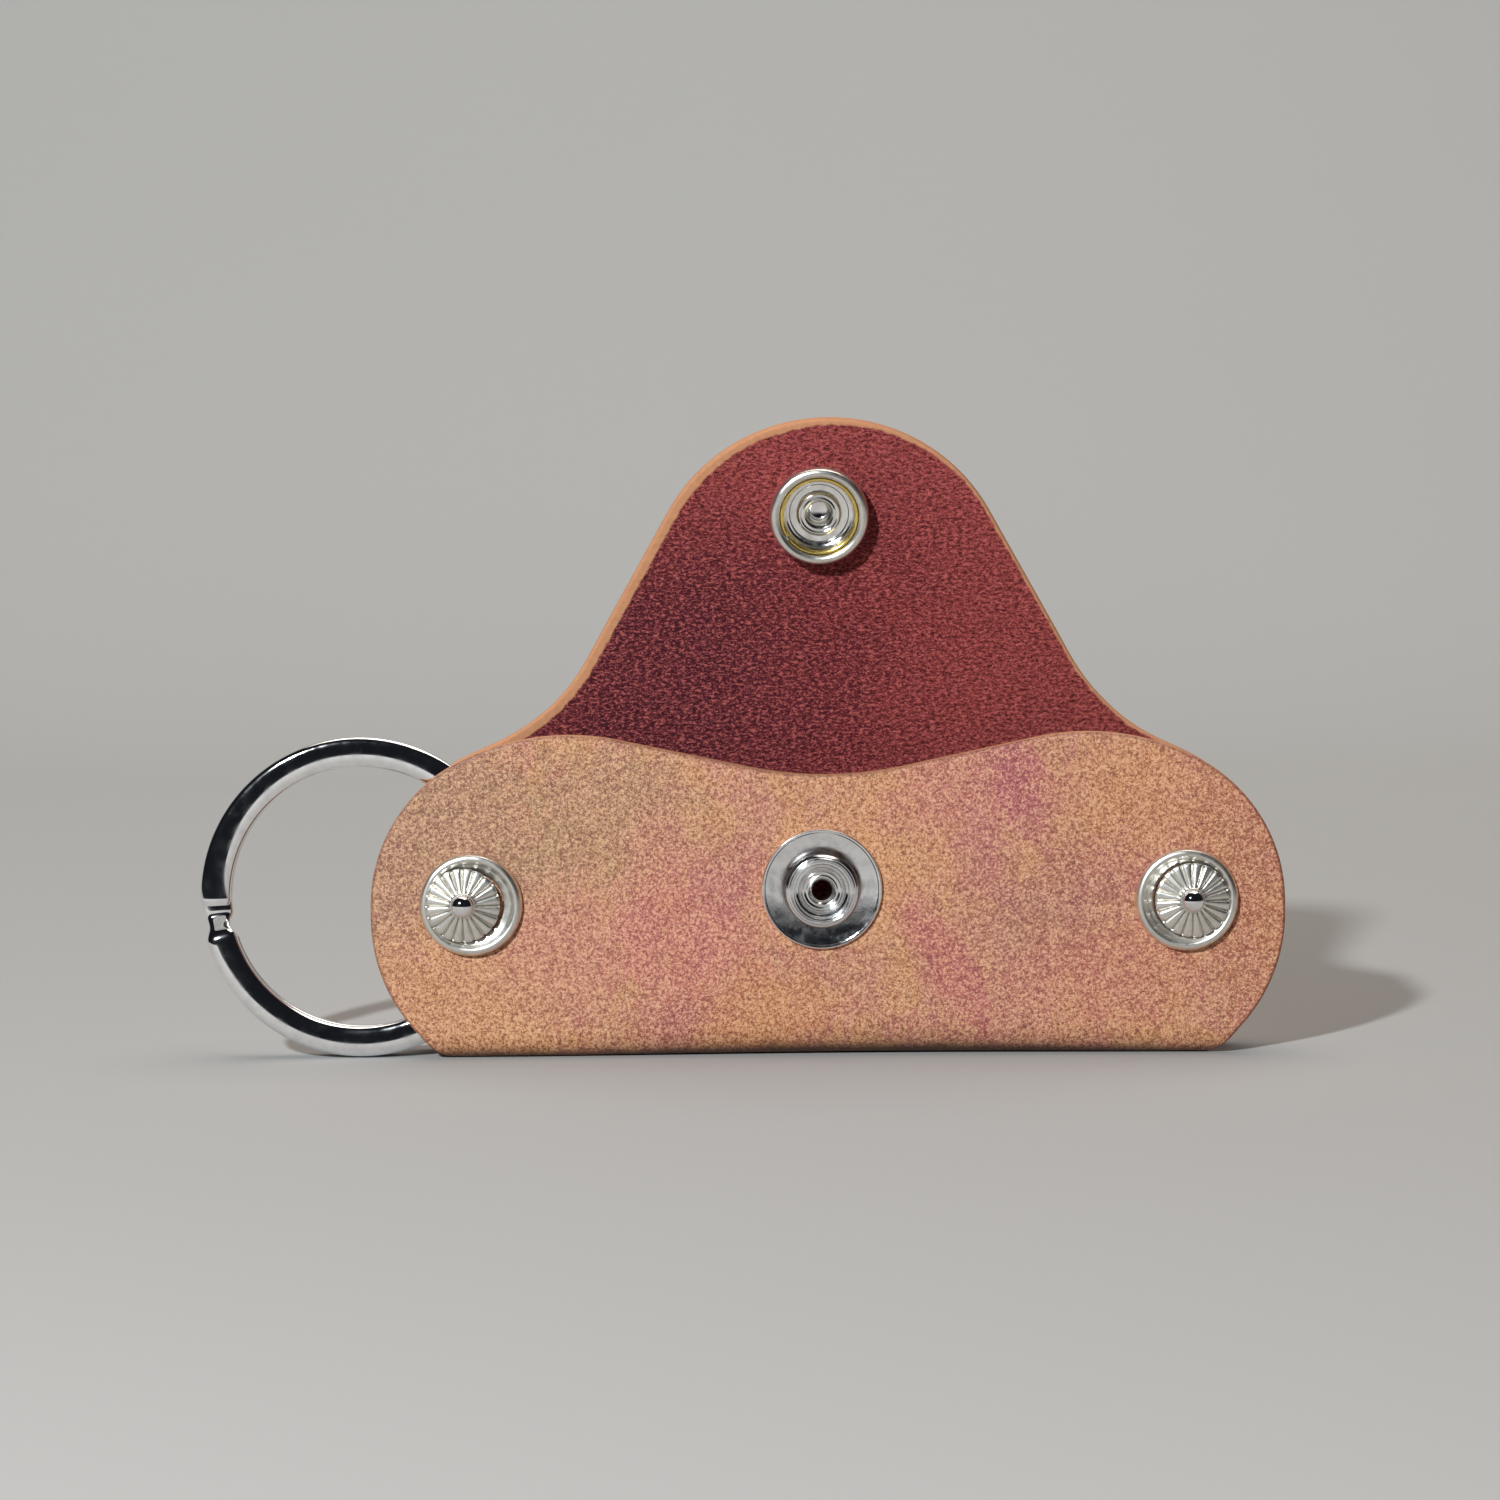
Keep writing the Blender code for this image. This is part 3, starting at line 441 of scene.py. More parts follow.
# Name, colour, colour of its dull patches, roughness, how much rougher these are, pitch of the
# marks in millimetres, their height in metres, and the radii and heights between which it has
# painted shade
SATIN = metal_material(
    "satin_plate", (0.86, 0.83, 0.77), (0.7, 0.67, 0.61), 0.28, 0.12, 0.05, 0.000004
)
BRIGHT = metal_material(
    "bright_plate", (0.96, 0.95, 0.93), (0.84, 0.82, 0.79), 0.1, 0.14, 0.04, 0.000004
)
# painted shade in the waist between the stud's head and its flange
STUD_WAIST_SHADE = (2.9, 4.0, 0.3, 2.16)
STUD_PLATE = metal_material(
    "stud_plate", (0.92, 0.92, 0.92), (0.78, 0.78, 0.79), 0.1, 0.14, 0.04, 0.000004, STUD_WAIST_SHADE
)
CHROME = metal_material(
    "ring_chrome", (0.94, 0.94, 0.94), (0.84, 0.84, 0.84), 0.05, 0.05, 0.6, 0.000002
)
BRASS = metal_material(
    "spring_brass", (0.95, 0.72, 0.22), (0.8, 0.55, 0.15), 0.22, 0.12, 0.1, 0.000002
)


# Mesh helpers


def finished(name, mesh, material, nodes, body=None):
    """A finished piece at the origin that stands for its CAD nodes."""
    obj = bpy.data.objects.new(name, mesh)
    bpy.context.scene.collection.objects.link(obj)
    mesh.materials.clear()
    mesh.materials.append(material)
    for polygon in mesh.polygons:
        polygon.use_smooth = True
    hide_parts(*nodes)
    if body:
        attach(obj, body)
    return obj


def vector_attribute(mesh, name, values):
    attribute = mesh.attributes.new(name, "FLOAT_VECTOR", "POINT")
    attribute.data.foreach_set("vector", np.asarray(values, np.float32).ravel())


def rounded(corners, degrees):
    """Points of a closed outline whose corners (x, y, radius) become arcs that fit their sides."""
    places = [Vector(corner[:2]) for corner in corners]
    count = len(places)
    sides = [places[(i + 1) % count] - places[i] for i in range(count)]
    turns = []
    for i in range(count):
        before, after = sides[i - 1], sides[i]
        turns.append(math.atan2(before.cross(after), before.dot(after)))
    tangents = [corners[i][2] * math.tan(abs(turns[i]) / 2) + 1e-9 for i in range(count)]
    points = []
    for i in range(count):
        room_before = sides[i - 1].length / (tangents[i - 1] + tangents[i])
        room_after = sides[i].length / (tangents[i] + tangents[(i + 1) % count])
        fit = min(1, room_before, room_after)
        start = places[i] - sides[i - 1].normalized() * tangents[i] * fit
        normal = sides[i - 1].normalized().orthogonal() * math.copysign(1, turns[i])
        centre = start + normal * corners[i][2] * fit
        least = 1 if corners[i][2] == 0 else 2
        steps = max(least, math.ceil(abs(turns[i]) / math.radians(degrees)))
        for step in range(steps + 1):
            point = centre + Matrix.Rotation(turns[i] * step / steps, 2) @ (start - centre)
            if not points or (point - points[-1]).length > SAME_POINT:
                points.append(point)
    if (points[0] - points[-1]).length < SAME_POINT:
        points.pop()
    return points


def turned_mesh(name, corners, place, segments=96, degrees=12):
    """A closed mesh turned about its Z axis from the corners (radius, height, rounding) of its
    section. Its points keep their radius, angle and height in the attribute turn."""
    section = [(max(point.x, 0.0), point.y) for point in rounded(corners, degrees)]
    bm = bmesh.new()
    facts = []
    rows = []
    for radius, height in section:
        row = []
        for step in range(1 if radius < 1e-6 else segments):
            angle = math.tau * step / segments
            row.append(bm.verts.new((radius * math.cos(angle), radius * math.sin(angle), height)))
            facts.append((radius, math.sin(angle) * 3, height))
        rows.append(row)
    for low, high in zip(rows, rows[1:] + rows[:1]):
        if len(low) == 1 and len(high) == 1:
            continue
        for i in range(segments):
            j = (i + 1) % segments
            around = [low[i % len(low)], low[j % len(low)]]
            around += [high[j % len(high)], high[i % len(high)]]
            bm.faces.new(list(dict.fromkeys(around)))
    bmesh.ops.recalc_face_normals(bm, faces=bm.faces)
    bmesh.ops.transform(bm, matrix=Matrix.Diagonal((MM, MM, MM, 1)), verts=bm.verts)
    bmesh.ops.transform(bm, matrix=place, verts=bm.verts)
    mesh = bpy.data.meshes.new(name)
    bm.to_mesh(mesh)
    bm.free()
    vector_attribute(mesh, "turn", facts)
    return mesh


def at(x, y, z):
    return Matrix.Translation((x * MM, y * MM, z * MM))


def tilt(angle):
    return Matrix.Rotation(angle, 4, "X")


CASE = at(CASE_X, CASE_Y, 0)
FLAP = Matrix.Translation(bends[-1]["pos_m"]) @ tilt(HINGES * HINGE_LEAN)
STUD_AXIS = CASE @ at(SNAP_X, -FACE, STUD_HEIGHT) @ tilt(math.pi / 2)
SOCKET_AXIS = FLAP @ at(SNAP_X, 0, SOCKET_ABOVE_BEND) @ tilt(math.pi / 2)
CAP_AXIS = FLAP @ at(SNAP_X, LEATHER, SOCKET_ABOVE_BEND) @ tilt(-math.pi / 2)


def rivet_axis(x):
    return CASE @ at(x, -FACE, RIVET_HEIGHT) @ tilt(math.pi / 2)


# Geometry node trees


def new_tree(name, inputs):
    """A geometry tree with named inputs, each (name, kind, value)."""
    tree = bpy.data.node_groups.new(name, "GeometryNodeTree")
    add_socket(tree, "Geometry", "INPUT", "Geometry")
    for label, kind, value in inputs:
        socket = add_socket(tree, label, "INPUT", kind)
        if value is not None:
            socket.default_value = value
    add_socket(tree, "Geometry", "OUTPUT", "Geometry")
    return tree, tree.nodes.new("NodeGroupInput").outputs, tree.nodes.new("NodeGroupOutput").inputs


def grown(name, tree, base, values):
    """The plain mesh that a tree makes from a base mesh, with its named inputs set."""
    obj = bpy.data.objects.new(name + "_base", base)
    bpy.context.scene.collection.objects.link(obj)
    modifier = obj.modifiers.new("grow", "NODES")
    modifier.node_group = tree
    for item in tree.interface.items_tree:
        if item.in_out == "INPUT" and item.name in values:
            modifier[item.identifier] = values[item.name]
    bpy.context.view_layer.update()
    evaluated = obj.evaluated_get(bpy.context.evaluated_depsgraph_get())
    mesh = bpy.data.meshes.new_from_object(evaluated)
    mesh.name = name
    bpy.data.objects.remove(obj)
    return mesh


def array_tree():
    """Copies of one wedge set round the Z axis and joined into one body."""
    tree, given, out = new_tree(
        "ring_array",
        [("Count", "Int", 20), ("Join Distance", "Float", 1e-6), ("Material", "Material", None)],
    )
    instance = node(tree, "GeometryNodeGeometryToInstance", {0: given["Geometry"]}).outputs[0]
    values = {"Geometry": instance, "Amount": given["Count"]}
    copies = node(tree, "GeometryNodeDuplicateElements", values, domain="INSTANCE")
    step = sums(tree, "DIVIDE", math.tau, given["Count"])
    turn = sums(tree, "MULTIPLY", copies.outputs["Duplicate Index"], step)
    rotation = node(tree, "ShaderNodeCombineXYZ", {2: turn}).outputs[0]
    values = {"Instances": copies.outputs["Geometry"], "Rotation": rotation, "Local Space": False}
    rotated = node(tree, "GeometryNodeRotateInstances", values)
    real = node(tree, "GeometryNodeRealizeInstances", {0: rotated.outputs[0]}).outputs[0]
    values = {"Geometry": real, "Distance": given["Join Distance"]}
    merged = node(tree, "GeometryNodeMergeByDistance", values).outputs[0]
    values = {"Geometry": merged, "Material": given["Material"]}
    put(tree, out[0], node(tree, "GeometryNodeSetMaterial", values).outputs[0])
    return tree


def wire_tree():
    """Flat wire wound round the Z axis, stepping from one coil to the next where each turn ends."""
    tree, given, out = new_tree(
        "wound_wire",
        [
            ("Radius", "Float", 0.0145),
            ("Wire Width", "Float", 0.003),
            ("Wire Thickness", "Float", 0.0016),
            ("Coil Pitch", "Float", 0.0017),
            ("Start Degrees", "Float", 183.0),
            ("Sweep Degrees", "Float", 707.0),
            ("Step Starts", "Float", 347.0),
            ("Step Ends", "Float", 360.0),
            ("Pinch", "Float", 0.2),
            ("Squareness", "Float", 0.77),
            ("Stations", "Int", 361),
            ("Sides", "Int", 28),
            ("Material", "Material", None),
        ],
    )
    line = node(tree, "GeometryNodeCurvePrimitiveLine", {"End": (0, 0, 1)}).outputs[0]
    values = {"Curve": line, "Count": given["Stations"]}
    path = node(tree, "GeometryNodeResampleCurve", values).outputs[0]
    index = node(tree, "GeometryNodeInputIndex").outputs[0]
    last = sums(tree, "SUBTRACT", given["Stations"], 1)
    share = sums(tree, "DIVIDE", index, last)
    turned_by = sums(tree, "MULTIPLY", share, given["Sweep Degrees"])
    across = ramp(tree, turned_by, given["Step Starts"], given["Step Ends"])
    angle = sums(tree, "RADIANS", sums(tree, "SUBTRACT", given["Start Degrees"], turned_by))
    x = sums(tree, "MULTIPLY", sums(tree, "COSINE", angle), given["Radius"])
    y = sums(tree, "MULTIPLY", sums(tree, "SINE", angle), given["Radius"])
    z = sums(tree, "MULTIPLY", sums(tree, "SUBTRACT", across, 0.5), given["Coil Pitch"])
    spot = node(tree, "ShaderNodeCombineXYZ", {0: x, 1: y, 2: z}).outputs[0]
    path = node(tree, "GeometryNodeSetPosition", {"Geometry": path, "Position": spot}).outputs[0]
    path = node(tree, "GeometryNodeSetCurveNormal", {"Curve": path}, mode="Z_UP").outputs[0]
    rise = sums(tree, "MULTIPLY", across, sums(tree, "SUBTRACT", 1.0, across))
    narrowed = sums(tree, "MULTIPLY", sums(tree, "MULTIPLY", rise, 4.0), given["Pinch"])
    ends = sums(tree, "MINIMUM", index, sums(tree, "SUBTRACT", last, index))
    softened = ramp(tree, ends, -0.5, 2.0, 0.84, 1.0)
    size = sums(tree, "MULTIPLY", sums(tree, "SUBTRACT", 1.0, narrowed), softened)
    values = {"Resolution": given["Sides"], "Radius": 1.0}
    circle = node(tree, "GeometryNodeCurvePrimitiveCircle", values).outputs[0]
    corner = split(tree, node(tree, "GeometryNodeInputPosition").outputs[0])
    sides = []
    for part, length in ((corner[0], "Wire Width"), (corner[1], "Wire Thickness")):
        bowed = sums(tree, "POWER", sums(tree, "ABSOLUTE", part), given["Squareness"])
        signed = sums(tree, "MULTIPLY", bowed, sums(tree, "SIGN", part))
        sides.append(sums(tree, "MULTIPLY", signed, sums(tree, "MULTIPLY", given[length], 0.5)))
    section = node(tree, "ShaderNodeCombineXYZ", {0: sides[0], 1: sides[1]}).outputs[0]
    values = {"Geometry": circle, "Position": section}
    profile = node(tree, "GeometryNodeSetPosition", values).outputs[0]
    sweep = {"Curve": path, "Profile Curve": profile, "Scale": size, "Fill Caps": True}
    swept = node(tree, "GeometryNodeCurveToMesh", sweep)
    real = node(tree, "GeometryNodeRealizeInstances", {0: swept.outputs[0]}).outputs[0]
    values = {"Geometry": real, "Material": given["Material"]}
    put(tree, out[0], node(tree, "GeometryNodeSetMaterial", values).outputs[0])
    return tree


ARRAY = array_tree()
WIRE = wire_tree()


# Leather sheet


def pattern_corners():
    """Corners (x, distance along the sheet, radius) of the flat sheet, from the front panel's dip
    round the right side to the flap's tip, and back on the left."""
    apex = FLAP_TIP_HEIGHT + FLAP_TIP_RADIUS * (1 / math.sin(FLAP_SIDE) - 1)
    shoulder_x = (apex - SHOULDER_HEIGHT) * math.tan(FLAP_SIDE)
    waist = LOBE_HALF - FOLD_INSET
    right = [
        (0, -DIP_HEIGHT - FOLD_TAKE_UP, DIP_RADIUS),
        (LOBE_HALF - CROWN_INSET, -CROWN_HEIGHT - FOLD_TAKE_UP, CROWN_RADIUS),
        (LOBE_HALF, -LOBE_TOP_HEIGHT - FOLD_TAKE_UP, LOBE_TOP_RADIUS),
        (LOBE_HALF, -LOBE_FOOT_HEIGHT - FOLD_TAKE_UP, LOBE_FOOT_RADIUS),
        (waist, -FOLD_TAKE_UP, FOLD_CORNER_RADIUS),
        (waist, FOLD_TAKE_UP, FOLD_CORNER_RADIUS),
        (LOBE_HALF, LOBE_FOOT_HEIGHT + FOLD_TAKE_UP, LOBE_FOOT_RADIUS),
        (LOBE_HALF, LOBE_TOP_HEIGHT + FOLD_TAKE_UP, LOBE_TOP_RADIUS),
        (shoulder_x, SHOULDER_HEIGHT + FOLD_TAKE_UP, SHOULDER_RADIUS),
        (0, apex + FOLD_TAKE_UP, FLAP_TIP_RADIUS),
    ]
    return right + [(-x, along, radius) for x, along, radius in reversed(right[1:-1])]


OUTLINE = [(point.x, point.y) for point in rounded(pattern_corners(), OUTLINE_STEP_DEGREES)]


def rim_distance(places):
    """Least distance from each (x, distance along) to the sheet's outline."""
    outline = np.array(OUTLINE)
    starts, ends = outline, np.roll(outline, -1, axis=0)
    runs = ends - starts
    least = np.full(len(places), np.inf)
    for start, run in zip(starts, runs):
        away = places - start
        share = np.clip(away @ run / (run @ run), 0, 1)
        least = np.minimum(least, np.linalg.norm(away - share[:, None] * run, axis=1))
    return least


def flat_sheet():
    """The whole sheet, with a rounded rim. Its points are x, distance along it, and depth from
    the inner face, which the fold and the bend need as straight rows."""
    outline = np.array(OUTLINE)
    runs = np.roll(outline, -1, axis=0) - np.roll(outline, 1, axis=0)
    inwards = np.stack([-runs[:, 1], runs[:, 0]], axis=1) / np.linalg.norm(runs, axis=1)[:, None]
    steps = 6
    quarter = [math.pi / 2 * step / steps for step in range(steps + 1)]
    rows = [(EDGE_ROUND + EDGE_MARGIN, 0.0)]
    rows += [(EDGE_ROUND * (1 - math.sin(a)), EDGE_ROUND * (1 - math.cos(a))) for a in quarter]
    rows += [(inset, LEATHER - depth) for inset, depth in reversed(rows)]
    bm = bmesh.new()
    rings = []
    for inset, depth in rows:
        points = outline + inwards * inset
        rings.append([bm.verts.new((x, along, depth)) for x, along in points])
    for low, high in zip(rings, rings[1:]):
        for i in range(len(low)):
            j = (i + 1) % len(low)
            bm.faces.new((low[i], low[j], high[j], high[i]))
    bm.faces.new(rings[0])
    bm.faces.new(rings[-1])
    bmesh.ops.recalc_face_normals(bm, faces=bm.faces)
    for x in np.arange(-LOBE_HALF + GRID_PITCH, LOBE_HALF, GRID_PITCH):
        slice_at(bm, (x, 0, 0), (1, 0, 0))
    low = FOLD_TAKE_UP + BEND_FOOT - STRIP_LENGTH / 2
    cuts = [
        *np.linspace(-FOLD_REACH, FOLD_REACH, FOLD_ROWS),
        *np.arange(FRONT_ROWS_END, -FOLD_REACH, GRID_PITCH),
        *np.arange(FOLD_REACH + GRID_PITCH, BACK_ROWS_END, GRID_PITCH),
        *np.linspace(low, low + HINGES * STRIP_LENGTH, BEND_ROWS),
        *np.arange(low + FLAP_ROWS_START * STRIP_LENGTH, FLAP_ROWS_END, GRID_PITCH),
    ]
    for along in cuts:
        slice_at(bm, (0, along, 0), (0, 1, 0))
    return bm


def slice_at(bm, place, direction, keep=None):
    """Cut the mesh along a plane. With keep, only that side stays and the cut is closed."""
    geometry = list(bm.verts) + list(bm.edges) + list(bm.faces)
    cut = bmesh.ops.bisect_plane(
        bm,
        geom=geometry,
        dist=1e-5,
        plane_co=place,
        plane_no=direction,
        clear_outer=keep == "below",
        clear_inner=keep == "above",
    )
    if keep:
        edges = [item for item in cut["geom_cut"] if isinstance(item, bmesh.types.BMEdge)]
        bmesh.ops.contextual_create(bm, geom=edges)


def hump(x):
    """1 at the fold's widest place, down to 0 at its ends."""
    share = np.clip(np.abs(x - FOLD_X) / FOLD_HALF, 0, 1)
    return (1 - share**2) ** 2


def smooth(value):
    value = np.clip(value, 0, 1)
    return value * value * (3 - 2 * value)


def folded(flat):
    """Where points of the flat sheet lie from the case's middle, once it is folded and its flap
    leans back: on the fold's underside, round its two bends, up the panels, and over the hinges."""
    x, along, depth = flat.T
    side = np.sign(along)
    distance = np.abs(along)
    outer = FOLD_END_RADIUS + (FOLD_MIDDLE_RADIUS - FOLD_END_RADIUS) * hump(x)
    middle = outer - LEATHER / 2
    base = FACE - outer
    turn = np.clip((distance - base) / middle, 0, math.pi / 2)
    radius = outer - LEATHER + depth
    past = distance - base - middle * math.pi / 2
    y = np.where(distance <= base, along, side * (base + radius * np.sin(turn)))
    raised = outer - (base + middle * math.pi / 2 - FOLD_TAKE_UP)
    spread = np.clip(1 - past / FOLD_SPREAD, 0, 1) ** 2
    upright = distance - FOLD_TAKE_UP + raised * spread
    z = np.where(past <= 0, outer - radius * np.cos(turn), upright)
    shifted = x + FLAP_SHIFT * smooth((along - BEND_FOOT) / FLAP_SHIFT_LENGTH)
    placed = np.stack([shifted, y, z], axis=1)
    for index in reversed(range(HINGES)):
        pivot_along = FOLD_TAKE_UP + BEND_FOOT + STRIP_LENGTH * index
        pivot = np.array([0, POCKET / 2, BEND_FOOT + STRIP_LENGTH * index])
        angle = HINGE_LEAN * smooth((along - pivot_along) / STRIP_LENGTH + 0.5)
        away_x, away_y, away_z = (placed - pivot).T
        c, s = np.cos(angle), np.sin(angle)
        moved = [away_x, c * away_y - s * away_z, s * away_y + c * away_z]
        placed = pivot + np.stack(moved, axis=1)
    return placed


def punched(mesh, holes):
    """The flat mesh with round holes (x, distance along) through it."""
    obj = bpy.data.objects.new("punched", mesh)
    bpy.context.scene.collection.objects.link(obj)
    cutters = bmesh.new()
    for x, along in holes:
        bmesh.ops.create_cone(
            cutters,
            cap_ends=True,
            segments=32,
            radius1=HOLE_RADIUS,
            radius2=HOLE_RADIUS,
            depth=4 * LEATHER,
            matrix=Matrix.Translation((x, along, 0)),
        )
    cutter_mesh = bpy.data.meshes.new("cutters")
    cutters.to_mesh(cutter_mesh)
    cutters.free()
    cutter = bpy.data.objects.new("cutters", cutter_mesh)
    bpy.context.scene.collection.objects.link(cutter)
    cut = obj.modifiers.new("holes", "BOOLEAN")
    cut.operation = "DIFFERENCE"
    cut.solver = "EXACT"
    cut.object = cutter
    bpy.context.view_layer.update()
    evaluated = obj.evaluated_get(bpy.context.evaluated_depsgraph_get())
    result = bpy.data.meshes.new_from_object(evaluated)
    bpy.data.objects.remove(obj)
    bpy.data.objects.remove(cutter)
    return result


def leather_pieces():
    """The sheet in four pieces, cut between the hinges."""
    whole = flat_sheet()
    first = FOLD_TAKE_UP + BEND_FOOT + STRIP_LENGTH / 2
    marks = [first + STRIP_LENGTH * step for step in range(HINGES - 1)]
    rivet_along = RIVET_HEIGHT + FOLD_TAKE_UP
    holes = [(SNAP_X, -STUD_HEIGHT - FOLD_TAKE_UP)]
    holes += [(x, side * rivet_along) for x in (LEFT_RIVET_X, RIGHT_RIVET_X) for side in (-1, 1)]
    last_hinge = FOLD_TAKE_UP + BEND_FOOT + (HINGES - 1) * STRIP_LENGTH
    flap_hole = [(SNAP_X, last_hinge + SOCKET_ABOVE_BEND)]
    jobs = [
        # name, bodies that it bends between, solids that it stands for, holes
        ("leather_panels", ("case", "bend_low"), ["leather_case", "flap_bend_low"], holes),
        ("leather_bend_low", ("bend_low", "bend_mid"), ["flap_bend_mid"], []),
        ("leather_bend_high", ("bend_mid", "bend_high"), ["flap_bend_high"], []),
        ("leather_flap", ("bend_high", "flap"), ["flap"], flap_hole),
    ]
    for index, (name, bodies, nodes, punches) in enumerate(jobs):
        low, high = ([None] + marks)[index], (marks + [None])[index]
        bm = whole.copy()
        if low is not None:
            slice_at(bm, (0, low, 0), (0, 1, 0), "above")
        if high is not None:
            slice_at(bm, (0, high, 0), (0, 1, 0), "below")
        bmesh.ops.recalc_face_normals(bm, faces=bm.faces)
        mesh = bpy.data.meshes.new(name)
        bm.to_mesh(mesh)
        bm.free()
        if punches:
            mesh = punched(mesh, punches)
            mesh.name = name
        flat = np.zeros(len(mesh.vertices) * 3)
        mesh.vertices.foreach_get("co", flat)
        flat = flat.reshape(-1, 3)
        vector_attribute(mesh, "flat", flat * (1, 1, 1 / LEATHER))
        rim = mesh.attributes.new("rim", "FLOAT", "POINT")
        rim.data.foreach_set("value", rim_distance(flat[:, :2]).astype(np.float32))
        placed = (folded(flat) + (CASE_X, CASE_Y, 0)) * MM
        mesh.vertices.foreach_set("co", placed.astype(np.float32).ravel())
        mesh.update()
        obj = finished(name, mesh, LEATHER_LOOK, nodes)
        mesh.set_sharp_from_angle(angle=SMOOTH_EDGE)
        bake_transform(obj)
    whole.free()


# Snap


def snap():
    # Sections as (radius, height, rounding): heights are from the leather's face, and those below
    # it lie in the leather or behind it
    stud = [
        (1.75, 0.0, 0),
        (5.9, 0.0, 0.05),
        (6.0, 0.1, 0.06),
        (6.0, 0.36, 0.08),
        (5.9, 0.5, 0.09),
        (5.68, 0.46, 0.07),
        (5.6, 0.38, 0.04),
        (3.6, 0.2, 0.05),
        (3.42, 0.2, 0.05),
        (3.38, 1.6, 0.08),
        (3.6, 1.72, 0.03),
        (3.7, 1.82, 0.04),
        (3.68, 2.08, 0.18),
        (3.38, 2.38, 0.12),
        (3.3, 2.35, 0.03),
        (3.23, 2.42, 0.04),
        (3.12, 2.45, 0.05),
        (3.05, 2.3, 0.03),
        (2.96, 2.42, 0.05),
        (2.76, 2.4, 0.08),
        (2.62, 1.95, 0.12),
        (2.36, 1.78, 0.08),
        (2.26, 1.4, 0.1),
        (1.9, 1.3, 0.1),
        (1.75, 0.98, 0),
    ]
    eyelet = [
        (1.0, -1.9, 0.05),
        (4.2, -1.9, 0.1),
        (4.2, -1.62, 0.1),
        (1.6, -1.6, 0.1),
        (1.6, 0.95, 0.05),
        (2.1, 1.34, 0.08),
        (2.1, 1.62, 0.14),
        (1.86, 1.82, 0.16),
        (1.6, 1.66, 0.08),
        (1.42, 1.74, 0.1),
        (1.16, 1.5, 0.12),
        (0.98, 1.3, 0.2),
    ]
    rim = [
        (4.3, 0.02, 0.03),
        (4.6, 0.02, 0.05),
        (4.93, 1.5, 0.4),
        (4.78, 2.22, 0.45),
        (4.3, 2.4, 0.35),
        (4.0, 2.2, 0.12),
        (3.94, 2.04, 0.05),
        (4.04, 2.0, 0.05),
        (4.3, 2.1, 0.2),
        (4.62, 1.6, 0.3),
    ]
    cup = [
        (1.85, 0.06, 0.02),
        (3.1, 0.06, 0.1),
        (3.55, 0.42, 0.1),
        (4.0, 0.9, 0.05),
        (4.4, 1.0, 0.04),
        (4.4, 1.2, 0.04),
        (3.88, 1.18, 0.08),
        (3.34, 0.6, 0.06),
        (3.16, 0.5, 0.05),
        (2.98, 0.48, 0.05),
        (2.88, 0.33, 0.06),
        (2.3, 0.3, 0.06),
        (1.85, 0.27, 0.02),
    ]
    post = [
        (0, -1.95, 0),
        (4.0, -1.95, 0.1),
        (4.0, -1.62, 0.1),
        (1.7, -1.6, 0.1),
        (1.7, 0.34, 0.05),
        (2.25, 0.36, 0.08),
        (2.25, 0.62, 0.16),
        (1.95, 0.86, 0.16),
        (1.74, 0.74, 0.08),
        (1.5, 0.84, 0.12),
        (1.2, 0.6, 0.12),
        (1.1, 0.2, 0.1),
        (1.02, -1.5, 0.3),
        (0, -1.7, 0),
    ]
    cap = [
        (0, 2.6, 0),
        (2.6, 2.45, 5.0),
        (5.2, 1.7, 4.0),
        (6.15, 0.35, 0.5),
        (6.15, 0.05, 0.1),
        (5.75, 0.05, 0.1),
        (5.0, 1.2, 3.0),
        (2.5, 2.0, 4.0),
        (0, 2.2, 0),
    ]
    jobs = [
        ("stud_shell", stud, STUD_AXIS, STUD_PLATE, ["snap_stud"], "case"),
        ("stud_eyelet", eyelet, STUD_AXIS, BRIGHT, ["snap_eyelet"], "case"),
        ("socket_rim", rim, SOCKET_AXIS, SATIN, ["snap_socket_rim"], "flap"),
        ("socket_cup", cup, SOCKET_AXIS, BRIGHT, ["snap_socket_cup"], "flap"),
        ("cap_rivet", post, SOCKET_AXIS, BRIGHT, ["snap_cap_post"], "flap"),
        ("cap_dome", cap, CAP_AXIS, SATIN, ["snap_cap"], "flap"),
    ]
    for name, corners, axis, material, nodes, body in jobs:
        mesh = turned_mesh(name, corners, axis, 128)
        finished(name, mesh, material, nodes, body)
    spring_radius, spring_wire, spring_height = 3.75, 0.52, 1.64
    values = {
        "Radius": spring_radius * MM,
        "Wire Width": spring_wire * MM,
        "Wire Thickness": spring_wire * MM,
        "Coil Pitch": 0.0,
        "Start Degrees": 212.0,
        "Sweep Degrees": 352.0,
        "Pinch": 0.0,
        "Squareness": 1.0,
        "Stations": 121,
        "Sides": 16,
        "Material": BRASS,
    }
    spring = grown("spring", WIRE, bpy.data.meshes.new("nothing"), values)
    spring.transform(SOCKET_AXIS @ at(0, 0, spring_height))
    finished("socket_spring", spring, BRASS, ["snap_spring"], "flap")


# Ornamental rivets


